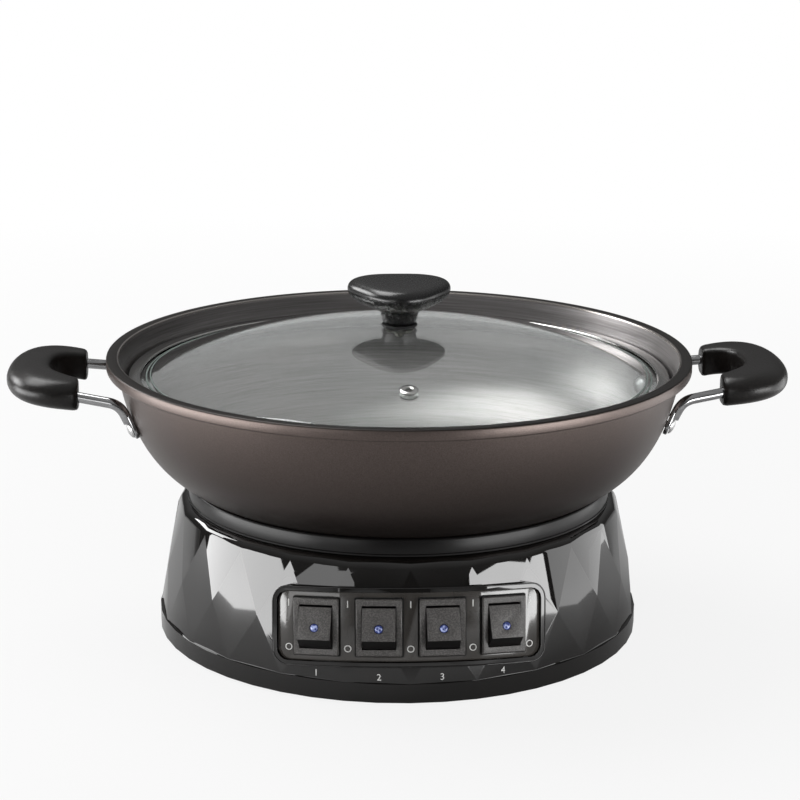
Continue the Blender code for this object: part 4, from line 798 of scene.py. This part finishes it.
@dataclass
class Base:
    """The faceted base with its collar, and the frame that its panel is built in."""

    corner_radius: float = 140.8 * MM
    band_top: float = 12 * MM
    facet_top_radius: float = 130 * MM
    facet_top_height: float = 73.5 * MM
    shoulder_radius: float = 124.3 * MM
    panel_height: float = 43 * MM
    panel_proud: float = 1.1 * MM
    panel_curve: float = 185 * MM
    panel_width: float = 154.5 * MM
    panel_tall: float = 44 * MM
    panel_corner: float = 9 * MM
    bead_inset: float = 0.35 * MM
    facets: int = 24
    middle_share: float = 0.47
    facet_edge: float = 0.3 * MM
    rim_edge: float = 0.4 * MM
    plane_near: float = 0.06 * MM
    rim_from_radius: float = 127 * MM
    rim_from_height: float = 0.9 * MM
    collar_inner: float = 120.5 * MM
    collar_wall: float = 2.6 * MM
    collar_floor: float = 1.6 * MM

    def slope(self) -> float:
        """Lean of the facets from upright."""
        return atan2(self.corner_radius - self.facet_top_radius, self.facet_top_height - self.band_top)

    def panel_frame(self) -> Matrix:
        """Frame whose Z axis is the axis of the panel's curve."""
        share = (self.panel_height - self.band_top) / (self.facet_top_height - self.band_top)
        front = self.corner_radius + (self.facet_top_radius - self.corner_radius) * share + self.panel_proud
        return (Matrix.Translation((0, -front, self.panel_height)) @ Matrix.Rotation(-self.slope(), 4, "X")
                @ Matrix.Translation((0, self.panel_curve, 0)))

    def on_panel(self, across: float, up: float, out: float) -> Matrix:
        """Frame on the panel's curve: X along it, Y up it and Z out of it.

        Args:
            across: distance along the curve from the middle.
            up: distance above the middle.
            out: distance outside the curve.

        Returns:
            The frame's matrix.
        """
        turn = Matrix.Rotation(across / self.panel_curve, 4, "Z")
        spot = Matrix.Translation((0, -self.panel_curve - out, up))
        return self.panel_frame() @ turn @ spot @ Matrix.Rotation(pi / 2, 4, "X")

    def facet_planes(self) -> list[tuple[Vector, float]]:
        """Planes of the facets, as a normal and a distance from the origin each.

        Returns:
            One plane for each lower triangle, upper triangle and diamond.
        """
        half = pi / self.facets
        rise = self.facet_top_height - self.band_top
        middle_height = self.band_top + rise * self.middle_share
        flat = self.corner_radius + (self.facet_top_radius - self.corner_radius) * self.middle_share
        planes = []
        for index in range(self.facets):
            turn = -pi / 2 + 2 * half * index

            def spot(radius: float, steps: float, height: float) -> Vector:
                """Point at a radius, some half facets round from the first corner."""
                angle = turn + half * steps
                return Vector((radius * cos(angle), radius * sin(angle), height))

            middle = flat / cos(half)
            low, low_next = (spot(self.corner_radius, k, self.band_top) for k in (0, 2))
            top, top_next = (spot(self.facet_top_radius, k, self.facet_top_height) for k in (0, 2))
            mid = spot(middle, 1, middle_height)
            mid_before = spot(middle, -1, middle_height)
            for a, b, c in ((low, low_next, mid), (mid, top_next, top), (low, mid, mid_before)):
                normal = (b - a).cross(c - a).normalized()
                if normal.x * a.x + normal.y * a.y < 0:
                    normal = -normal
                planes.append((normal, normal.dot(a)))
        return planes

    def build_shell(self) -> bpy.types.Object:
        """Shell with crisp facets, a round shoulder and a round foot band."""
        shell = Bench.carried_copy("base_shell")
        planes = self.facet_planes()

        def facet_of(face: bmesh.types.BMFace) -> int:
            """Number of the plane that a face lies in, or -1."""
            centre = face.calc_center_median()
            for number, (normal, distance) in enumerate(planes):
                if normal.dot(face.normal) > 0.9998 and abs(normal.dot(centre) - distance) < self.plane_near:
                    return number
            return -1

        mesh = bmesh.new()
        mesh.from_mesh(shell.data)
        owner = {face: facet_of(face) for face in mesh.faces}
        edges = []
        for edge in mesh.edges:
            sides = {owner[face] for face in edge.link_faces}
            if len(sides) == 2 and -1 not in sides:
                edges.append(edge)
        rims = []
        for edge in mesh.edges:
            outside = all(Vector(v.co[:2]).length > self.rim_from_radius and v.co.z > self.rim_from_height
                          for v in edge.verts)
            if outside and edge not in edges and len(edge.link_faces) == 2 and edge.calc_face_angle() > radians(50):
                rims.append(edge)
        bmesh.ops.bevel(mesh, geom=edges, offset=self.facet_edge, segments=2, affect="EDGES", profile=0.5,
                        clamp_overlap=True)
        rims = [edge for edge in rims if edge.is_valid]
        bmesh.ops.bevel(mesh, geom=rims, offset=self.rim_edge, segments=3, affect="EDGES", profile=0.5,
                        clamp_overlap=True)
        # Facets stay flat-shaded, so that each shows one clean reflection
        mesh.normal_update()
        for face in mesh.faces:
            face.smooth = facet_of(face) < 0
        mesh.to_mesh(shell.data)
        mesh.free()
        shell.data.set_sharp_from_angle(angle=radians(32))
        return Bench.deliver(shell, "faceted_base_shell", GLOSS_ABS, "root", ["base_shell"], "base_plastic")

    def build_collar(self) -> None:
        """Turned collar that the pan stands in, with a small bead at its foot."""
        low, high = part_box("collar_ring")
        foot = self.shoulder_radius
        seat = foot - self.collar_wall
        points = [(self.collar_inner, low.z), (foot, low.z), (foot, low.z + 0.9 * MM),
                  (foot - 0.5 * MM, low.z + 1.3 * MM),
                  (foot - 0.5 * MM, high.z - 1.2 * MM), (foot - 0.9 * MM, high.z - 0.4 * MM),
                  (foot - 1.4 * MM, high.z), (seat + 0.3 * MM, high.z), (seat, high.z - 0.3 * MM),
                  (seat, low.z + self.collar_floor), (self.collar_inner, low.z + self.collar_floor),
                  (self.collar_inner, low.z)]
        collar = Bench.turned(points, 192)
        Bench.smooth(collar, radians(40))
        Bench.deliver(collar, "pan_collar", COLLAR_ABS, "root", ["collar_ring"], "collar_plastic")

    def build(self) -> bpy.types.Object:
        """Make the shell and the collar, and give back the shell."""
        shell = self.build_shell()
        self.build_collar()
        return shell


@dataclass
class ControlPanel:
    """The plate with four rocker switches, their lamps and the printed marks."""

    base: Base
    pitch: float = 34.6 * MM
    count: int = 4
    mark_height: float = 3.9 * MM
    plate_depth: float = 1.5 * MM
    number_height: float = 15.1 * MM
    # Width of the black rubber frame round each bezel, which is a painted shadow in the gap round it
    shadow_frame: float = 0.7 * MM
    bead: float = 0.42 * MM
    mark_up: float = 12.2 * MM
    mark_size: float = 4.1 * MM
    end_shift: float = 1.2 * MM
    ink: float = 0.03 * MM
    ray_from: float = 20 * MM

    def across(self, index: float) -> float:
        """Distance of a switch from the panel's middle, along its curve."""
        return (index - (self.count - 1) / 2) * self.pitch

    def build(self, shell: bpy.types.Object) -> None:
        """Make the plate, the switches and the marks.

        Args:
            shell: the base shell, which the numbers are printed on.
        """
        plate = Bench.softened("switch_panel", 0.3 * MM, 2)
        Bench.deliver(plate, "switch_plate", PANEL_ACRYLIC, "root", ["switch_panel"], "panel_plastic")
        for index in range(self.count):
            self.build_switch(index)
        self.build_bead(shell)
        self.build_marks(shell)

    def build_bead(self, shell: bpy.types.Object) -> None:
        """Run a thin raised bead over the shell, round the plate."""
        half, tall, corner = self.base.panel_width / 2, self.base.panel_tall / 2, self.base.panel_corner
        out, reach, corner_steps, side_steps = -self.base.bead_inset, half - corner, 8, 24
        path = []
        for turn, (side_x, side_y) in enumerate(((1, -1), (1, 1), (-1, 1), (-1, -1))):
            for step in range(corner_steps + 1):
                angle = -pi / 2 + turn * pi / 2 + pi / 2 * step / corner_steps
                path.append((side_x * reach + (corner + out) * cos(angle),
                             side_y * (tall - corner) + (corner + out) * sin(angle)))
            if side_x == side_y:
                path += [(side_x * (reach - 2 * reach * step / side_steps), side_x * (tall + out))
                         for step in range(1, side_steps)]
        spots = []
        for across, up in path:
            start = self.base.on_panel(across, up, self.ray_from)
            hit, spot, normal, _ = shell.ray_cast(start.translation, start.to_3x3() @ Vector((0, 0, -1)))
            if hit:
                spots.append(spot + normal * 0.1 * self.bead)
        bead = Bench.wire(spots, self.bead, 3, closed=True)
        Bench.smooth(bead, radians(60))
        Bench.deliver(bead, "panel_border_bead", GLOSS_ABS, "root", (), "base_plastic")

    def build_switch(self, index: int) -> None:
        """Make one bezel, rocker and jewel."""
        number = index + 1
        across = self.across(index)
        here = self.base.on_panel(across, 0, 0)
        bezel = Bench.softened(f"switch_housing_{number}", 0.35 * MM, 3)
        Bench.deliver(bezel, f"switch_bezel_{number}", SWITCH_NYLON, "root", [f"switch_housing_{number}"],
                      "switch_plastic")
        # A black rubber frame round the bezel, just proud of the plate: a painted shadow in the gap round the bezel
        shadow_frame = Bench.carried_copy(f"switch_housing_{number}")
        Bench.place(shadow_frame, here.inverted())
        xs = [vertex.co.x for vertex in shadow_frame.data.vertices]
        ys = [vertex.co.y for vertex in shadow_frame.data.vertices]
        wide = 1 + 2 * self.shadow_frame / (max(xs) - min(xs))
        tall = 1 + 2 * self.shadow_frame / (max(ys) - min(ys))
        for vertex in shadow_frame.data.vertices:
            vertex.co.x *= wide
            vertex.co.y = (vertex.co.y - (max(ys) + min(ys)) / 2) * tall + (max(ys) + min(ys)) / 2
            vertex.co.z = min(vertex.co.z, -self.plate_depth + 0.12 * MM)
        Bench.place(shadow_frame, here)
        Bench.deliver(shadow_frame, f"switch_shadow_frame_{number}", RUBBER, "root", (), "black_rubber")
        body = "rocker_" + "abcd"[index]
        rocker = Bench.softened(f"rocker_{number}", 0.7 * MM, 4, radians(30))
        rocker.data.materials.append(SWITCH_NYLON.build())
        rocker.data.materials.append(SWITCH_SIDE_SHADE.build())
        # Faces turned more than 42 degrees from the front take the darker side finish: painted shade
        outward = here.to_3x3() @ Vector((0, 0, 1))
        for face in rocker.data.polygons:
            face.material_index = 0 if face.normal.dot(outward) > cos(radians(42)) else 1
        Bench.deliver(rocker, f"switch_rocker_{number}", SWITCH_NYLON, body, [f"rocker_{number}"],
                      "rocker_plastic")
        lens = Bench.softened(f"indicator_lens_{number}", 0.9 * MM, 5, radians(40), radians(80))
        Bench.deliver(lens, f"switch_jewel_{number}", LENS_STYRENE, body, [f"indicator_lens_{number}"],
                      "lens_clear")

    def build_marks(self, shell: bpy.types.Object) -> None:
        """Print a bar for on and a ring for off beside each switch, and a number below it."""
        for index in range(self.count + 1):
            across = (index - self.count / 2) * self.pitch
            if index == 0:
                across += self.end_shift
            if index == self.count:
                across -= self.end_shift
            for up, word, label in ((self.mark_up, "I", "on"), (-self.mark_up, "O", "off")):
                matrix = self.base.on_panel(across, up, -self.plate_depth)
                self.mark(word, f"mark_{label}_{index + 1}", matrix, self.mark_size)
        for index in range(self.count):
            start = self.base.on_panel(self.across(index), 0, 0)
            from_front = Vector((start.translation.x, -0.2, self.number_height))
            hit, spot, normal, _ = shell.ray_cast(from_front, Vector((0, 1, 0)))
            if not hit:
                continue
            along = start.to_3x3() @ Vector((1, 0, 0))
            along = (along - normal * along.dot(normal)).normalized()
            matrix = Matrix((along, normal.cross(along), normal)).transposed().to_4x4()
            matrix.translation = spot + normal * 0.02 * MM
            self.mark(str(index + 1), f"mark_number_{index + 1}", matrix, self.mark_height, shell)

    def mark(self, word: str, name: str, matrix: Matrix, size: float,
             under: bpy.types.Object | None = None) -> None:
        """Print one character as a thin raised ink shape.

        Args:
            word: the character.
            name: the piece's name.
            matrix: frame with X along the word and Z out of the surface.
            size: height of the character's line, in metres.
            under: an uneven piece whose surface the ink follows.
        """
        Bench.clear_selection()
        bpy.ops.object.text_add(location=(0, 0, 0))
        text = bpy.context.object
        text.data.body = word
        text.data.size = size * 1.35
        text.data.align_x = "CENTER"
        text.data.align_y = "CENTER"
        text.data.extrude = self.ink
        text.data.resolution_u = 4
        bpy.ops.object.convert(target="MESH")
        ink = bpy.context.object
        heights = [vertex.co.z for vertex in ink.data.vertices]
        Bench.place(ink, matrix)
        if under is not None:
            towards = matrix.to_3x3() @ Vector((0, 0, -1))
            for vertex, height in zip(ink.data.vertices, heights):
                hit, spot, normal, _ = under.ray_cast(vertex.co - towards * 6 * MM, towards)
                if hit:
                    vertex.co = spot + normal * (0.08 * MM if height > 0 else -0.05 * MM)
        Bench.deliver(ink, name, PRINT, "root")


@dataclass
class Lid:
    """Domed glass in a steel band, with a steam vent and a three-sided knob."""

    radius: float = 157.5 * MM
    band_wall: float = 1.1 * MM
    band_width: float = 7.2 * MM
    glass: float = 3.8 * MM
    rise: float = 28 * MM
    flat: float = 7.9 * MM
    gap: float = 0.3 * MM
    screw_radius: float = 2.1 * MM
    knob_radius: float = 29.5 * MM
    knob_lobe: float = 0.095
    vent_distance: float = 100 * MM
    seat: float = field(default_factory=lambda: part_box("lid_rim")[0].z)
    top: float = field(default_factory=lambda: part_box("lid_rim")[1].z)

    def flat_low(self) -> float:
        """Height of the glass's lower flat face."""
        return self.top - self.band_wall - self.gap - self.glass

    def dome(self) -> tuple[float, float, float]:
        """Radius of the dome, height of its centre and radius of its foot."""
        foot = self.radius - self.band_wall - self.gap - self.flat
        radius = (foot ** 2 + self.rise ** 2) / (2 * self.rise)
        return radius, self.flat_low() + self.rise - radius, foot

    def build_glass(self) -> None:
        """Turn the glass, with a soft bend between its dome and its flat edge."""
        radius, centre, foot = self.dome()
        edge = self.radius - self.band_wall - self.gap
        hole = self.screw_radius + 2 * self.gap
        under, over = [], []
        for step in range(41):
            across = hole + (foot - hole) * (1 - step / 40)
            under.append((across, centre + sqrt(radius ** 2 - across ** 2)))
            over.append((across, centre + sqrt((radius + self.glass) ** 2 - across ** 2)))
        low = self.flat_low()
        over[0] = (foot, low + self.glass)
        points = [(edge, low)] + under + list(reversed(over)) + [(edge, low + self.glass), (edge, low)]
        glass = Bench.turned(points, 192)
        Bench.smooth(glass, radians(60))
        Bench.deliver(glass, "lid_glass_dome", LID_GLASS, "lid", ["lid_glass"], "lid_glass")
        for name, at in (("glass_edge_line_outer", foot - 1.2 * MM), ("glass_edge_line_inner", foot - 3.6 * MM)):
            height = centre + sqrt((radius + self.glass) ** 2 - at ** 2)
            thin, half = 0.12 * MM, 0.45 * MM
            line = Bench.turned([(at - half, height), (at + half, height - 0.3 * MM), (at + half, height),
                                 (at, height + thin), (at - half, height + thin), (at - half, height)], 192)
            Bench.smooth(line, radians(60))
            Bench.deliver(line, name, GROUND_GLASS, "lid")

    def build_band(self) -> None:
        """Turn the steel band, rolled over the glass's edge."""
        inner = self.radius - self.band_width
        groove = self.radius - self.band_wall
        floor = self.flat_low() - self.gap
        points = [(inner, floor - self.band_wall), (groove, self.seat), (self.radius - 0.3 * MM, self.seat),
                  (self.radius, self.seat + 0.6 * MM), (self.radius, self.seat + 3.0 * MM),
                  (self.radius - 0.25 * MM, self.seat + 3.3 * MM), (self.radius - 0.25 * MM, self.seat + 3.9 * MM),
                  (self.radius, self.seat + 4.2 * MM), (self.radius, self.top - 0.9 * MM),
                  (self.radius - 0.4 * MM, self.top - 0.25 * MM), (self.radius - 1.1 * MM, self.top),
                  (inner + 0.5 * MM, self.top), (inner, self.top - 0.4 * MM), (inner, self.top - self.band_wall),
                  (groove, self.top - self.band_wall), (groove, floor), (inner, floor),
                  (inner, floor - self.band_wall)]
        band = Bench.turned(points, 192)
        Bench.smooth(band, radians(35))
        Bench.deliver(band, "lid_steel_band", BAND_STEEL, "lid", ["lid_rim"], "lid_steel")

    def build_vent(self) -> None:
        """Turn the vent's eyelet, with rolled flanges, and set it on the dome."""
        radius, centre, _ = self.dome()
        tip = asin(self.vent_distance / (radius + self.glass / 2))
        matrix = (Matrix.Translation((0, 0, centre)) @ Matrix.Rotation(tip, 4, "X")
                  @ Matrix.Translation((0, 0, radius)))
        low, high = -0.6 * MM, self.glass + 0.3 * MM
        points = [(1.8 * MM, low - 0.6 * MM), (2.3 * MM, low - 0.9 * MM), (4.7 * MM, low - 0.9 * MM),
                  (5.2 * MM, low - 0.4 * MM), (5.1 * MM, low), (3.6 * MM, low), (3.6 * MM, high), (5.1 * MM, high),
                  (5.2 * MM, high + 0.4 * MM), (4.7 * MM, high + 0.8 * MM), (2.4 * MM, high + 0.9 * MM),
                  (1.8 * MM, high + 0.5 * MM), (1.8 * MM, low - 0.6 * MM)]
        eyelet = Bench.turned(points, 48)
        Bench.smooth(eyelet, radians(50))
        Bench.place(eyelet, matrix)
        Bench.deliver(eyelet, "steam_vent_eyelet", BAND_STEEL, "lid", ["vent_eyelet"], "lid_steel")

    def build_knob(self) -> None:
        """Shape the knob: a three-sided cap that narrows to a round neck."""
        radius, centre, _ = self.dome()
        neck_low = centre + radius + self.glass + 2.0 * MM
        # Radius and height in mm of each section from the neck up, and how far it is lobed
        sections = ((9.5, 0.0, 0.0), (9.6, 1.2, 0.0), (11.0, 6.2, 0.0), (12.0, 8.2, 0.15), (17.5, 9.6, 0.7),
                    (24.5, 12.2, 1.0), (28.6, 16.0, 1.0), (29.5, 19.4, 1.0), (28.4, 22.6, 1.0), (25.0, 24.7, 1.0),
                    (17.0, 25.4, 1.0), (6.0, 25.5, 1.0))
        steps = 60
        Bench.clear_selection()
        bpy.ops.mesh.primitive_circle_add(vertices=steps, radius=sections[0][0] * MM, fill_type="NGON",
                                          location=(0, 0, neck_low))
        knob = bpy.context.object
        bpy.ops.object.transform_apply(location=True, rotation=False, scale=False)
        bpy.ops.object.mode_set(mode="EDIT")
        bpy.ops.mesh.select_all(action="SELECT")
        for (_, below, _), (_, above, _) in zip(sections, sections[1:]):
            bpy.ops.mesh.extrude_region_move(TRANSFORM_OT_translate={"value": (0, 0, (above - below) * MM)})
        bpy.ops.object.mode_set(mode="OBJECT")
        heights = [neck_low + height * MM for _, height, _ in sections]
        for vertex in knob.data.vertices:
            level = min(range(len(heights)), key=lambda i: abs(heights[i] - vertex.co.z))
            size, _, lobed = sections[level]
            turn = atan2(vertex.co.y, vertex.co.x)
            reach = size * MM * (1 + self.knob_lobe * lobed * cos(3 * (turn + pi / 2)))
            vertex.co.x, vertex.co.y = reach * cos(turn), reach * sin(turn)
        Bench.face_outwards(knob)
        Bench.modify(knob, "SUBSURF", levels=2, render_levels=2)
        Bench.smooth(knob, radians(60))
        Bench.deliver(knob, "lid_knob", KNOB_PHENOLIC, "lid", ["knob"], "knob_plastic")

    def build(self) -> None:
        """Make the glass, the band, the vent and the knob, and dress the fixings."""
        self.build_glass()
        self.build_band()
        self.build_vent()
        self.build_knob()
        dress(["knob_gasket"], RUBBER)
        dress(["knob_washer", "knob_screw"], ZINC)


class Inside:
    """The pieces inside and under the base, which keep their CAD shapes."""

    @staticmethod
    def build() -> None:
        """Give each kept node its finish."""
        numbered = range(1, 5)
        dress(["bottom_cover"], FLOOR_ABS)
        dress([f"foot_{n}" for n in numbered], RUBBER)
        dress([f"cover_screw_{n}" for n in numbered], ZINC)
        dress([f"{piece}_{n}" for piece in ("wok_stud", "stud_nut") for n in range(1, 4)] + ["heat_shield"], ZINC)
        dress([f"heater_ring_{where}" for where in ("inner", "middle", "outer")] + ["thermostat"], HEATER_STEEL)
        dress(["thermal_fuse"], RUBBER)
        dress([f"inlet_pin_{pin}" for pin in ("line", "neutral", "earth")], BRASS)
        dress(["terminal_block"], STEATITE)
        dress(["lead_line", "lead_neutral"], SLEEVE)
        inlet = Bench.softened("inlet_housing", 0.5 * MM, 3)
        Bench.deliver(inlet, "appliance_inlet", FLOOR_ABS, "root", ["inlet_housing"], "cover_plastic")


@dataclass
class Studio:
    """Camera, pale floor, soft boxes and world."""

    azimuth: float = radians(-3.1)
    elevation: float = radians(16.4)
    roll: float = radians(0.4)
    distance: float = 1.4
    focal_px: float = 2370.0
    centre_px: Point = (398.5, 455.6)
    frame_px: float = 800.0
    aim_height: float = 0.1
    floor_size: float = 14.0

    def build_camera(self) -> None:
        """Stand the camera where the photograph was taken from."""
        az, el = self.azimuth, self.elevation
        back = Vector((sin(az) * cos(el), -cos(az) * cos(el), sin(el)))
        right = Vector((cos(az), sin(az), 0))
        up = back.cross(right)
        right, up = right * cos(self.roll) + up * sin(self.roll), up * cos(self.roll) - right * sin(self.roll)
        eye = Vector((0, 0, self.aim_height)) + back * self.distance
        off_x = (self.frame_px / 2 - self.centre_px[0]) / self.focal_px
        off_y = (self.centre_px[1] - self.frame_px / 2) / self.focal_px
        forward = (-back + right * off_x + up * off_y).normalized()
        right = (right - forward * right.dot(forward)).normalized()
        up = right.cross(forward)
        matrix = Matrix((right, up, -forward)).transposed().to_4x4()
        matrix.translation = eye
        data = bpy.data.cameras.new("camera")
        data.sensor_width = 36.0
        data.lens = self.focal_px * data.sensor_width / self.frame_px
        data.clip_start = 0.05
        data.clip_end = 50
        camera = bpy.data.objects.new("camera", data)
        bpy.context.scene.collection.objects.link(camera)
        camera.matrix_world = matrix
        bpy.context.scene.camera = camera

    @staticmethod
    def seen_straight(tree: bpy.types.NodeTree) -> bpy.types.NodeSocket:
        """Make a mask that is 1 for rays from the camera or through glass, and 0 for the rest."""
        path = add_node(tree, "LightPath", {})
        return add_node(tree, "Math", {"operation": "MAXIMUM"},
                        {0: path.outputs["Is Camera Ray"], 1: path.outputs["Is Transmission Ray"]}).outputs["Value"]

    def build_floor(self) -> None:
        """Lay the pale floor, which shows white to the eye but keeps a soft shadow."""
        Bench.clear_selection()
        bpy.ops.mesh.primitive_plane_add(size=self.floor_size, location=(0, 0, -0.0002))
        floor = bpy.context.object
        floor.name = "studio_floor"
        made = bpy.data.materials.new("matt_white_paper")
        made.use_nodes = True
        tree = made.node_tree
        shader = tree.nodes["Principled BSDF"]
        shader.inputs["Base Color"].default_value = linear("aaaaaa")
        shader.inputs["Roughness"].default_value = 0.9
        shader.inputs["Specular IOR Level"].default_value = 0.1
        glow = add_node(tree, "Emission", {"Color": linear("ffffff"), "Strength": 1.0})
        # White from 1.3 m away. Nearer, a share of the real shading is left for the object's shadow. Reflections
        # see the paper as it is lit, which keeps the polished base black
        place = add_node(tree, "TexCoord", {})
        away = add_node(tree, "VectorMath", {"operation": "LENGTH"}, {0: place.outputs["Object"]})
        share = add_node(tree, "MapRange", {"From Min": 0.3, "From Max": 1.3, "To Min": 0.86, "To Max": 1.0},
                         {"Value": away.outputs["Value"]})
        seen = add_node(tree, "Math", {"operation": "MULTIPLY"}, {0: self.seen_straight(tree),
                                                                  1: share.outputs["Result"]})
        both = add_node(tree, "MixShader", {}, {"Fac": seen.outputs["Value"], 1: shader.outputs["BSDF"],
                                               2: glow.outputs["Emission"]})
        tree.links.new(both.outputs["Shader"], tree.nodes["Material Output"].inputs["Surface"])
        floor.data.materials.append(made)

    @staticmethod
    def soft_box(name: str, place: Point3, aim: Point3, width: float, tall: float, power: float) -> None:
        """Hang one soft box.

        Args:
            name: the lamp's name.
            place: where it hangs.
            aim: the point it faces.
            width: its width.
            tall: its height.
            power: its power in watts.
        """
        data = bpy.data.lights.new(name, "AREA")
        data.shape = "RECTANGLE"
        data.size = width
        data.size_y = tall
        data.energy = power
        lamp = bpy.data.objects.new(name, data)
        bpy.context.scene.collection.objects.link(lamp)
        lamp.location = place
        lamp.visible_camera = False
        lamp.rotation_euler = (Vector(aim) - Vector(place)).to_track_quat("-Z", "Y").to_euler()

    def ring_box(self, name: str, azimuth: float, distance: float, width: float, heights: Point,
                 radiance: float) -> None:
        """Stand one soft box beside the object, at right angles to the line to it.

        Args:
            name: the lamp's name.
            azimuth: degrees from the front, with the right side positive.
            distance: how far it stands from the middle.
            width: its width.
            heights: heights of its lower and upper edge.
            radiance: how bright its face is, where 1 is white.
        """
        turn = radians(azimuth)
        low, high = heights
        place = (distance * sin(turn), -distance * cos(turn), (low + high) / 2)
        power = radiance * pi * width * (high - low)
        self.soft_box(name, place, (0, 0, (low + high) / 2), width, high - low, power)

    def build_light(self) -> None:
        """Light the object from low soft boxes that its facets mirror, and one overhead, in a pale room."""
        for name, azimuth, distance, width, heights, radiance in (
                ("left", -76, 0.67, 0.76, (0.0, 0.21), 8.5), ("left_fill", -33, 1.5, 0.6, (0.035, 0.5), 2.3),
                ("left_back", -118, 1.6, 0.9, (0.5, 1.1), 9.5), ("right", 49, 0.727, 0.54, (0.0, 0.21), 8.8),
                ("right_fill", 92, 0.5, 0.42, (0.0, 0.2), 2.4)):
            self.ring_box("soft_box_" + name, azimuth, distance, width, heights, radiance)
        self.soft_box("soft_box_top", (-0.6, 0.45, 1.5), (0, 0, 0.1), 1.2, 0.9, 22)
        world = bpy.data.worlds.new("pale_room")
        bpy.context.scene.world = world
        world.use_nodes = True
        tree = world.node_tree
        path = add_node(tree, "LightPath", {})
        place = add_node(tree, "TexCoord", {})
        parts = add_node(tree, "SeparateXYZ", {}, {"Vector": place.outputs["Generated"]})
        # The room is white to the eye and through glass. Reflections see it dimmed towards the horizon, as by
        # the dark cards round a studio table, so that the polished black base stays black
        wall = add_node(tree, "MapRange", {"From Min": 0.12, "From Max": 0.8, "To Min": 0.08, "To Max": 0.45},
                        {"Value": parts.outputs["Z"]})
        shine = add_node(tree, "Mix", {"A": 0.5}, {"Factor": path.outputs["Is Glossy Ray"],
                                                   "B": wall.outputs["Result"]})
        strength = add_node(tree, "Mix", {"B": 1.0}, {"Factor": self.seen_straight(tree),
                                                      "A": shine.outputs["Result"]})
        back = tree.nodes["Background"]
        back.inputs["Color"].default_value = linear("ffffff")
        tree.links.new(strength.outputs["Result"], back.inputs["Strength"])
        bpy.context.scene.view_settings.view_transform = "Standard"

    def build(self) -> None:
        """Set up the camera, the floor and the light."""
        self.build_camera()
        self.build_floor()
        self.build_light()


def main() -> None:
    """Build every piece of the skillet and the room around it."""
    logging.basicConfig(level=logging.INFO, format="%(name)s: %(message)s")
    Studio().build()
    pan = Pan()
    pan.build()
    Handles(pan).build()
    base = Base()
    shell = base.build()
    ControlPanel(base).build(shell)
    Lid().build()
    Inside.build()
    Bench.clear_selection()


if __name__ == "__main__":
    main()
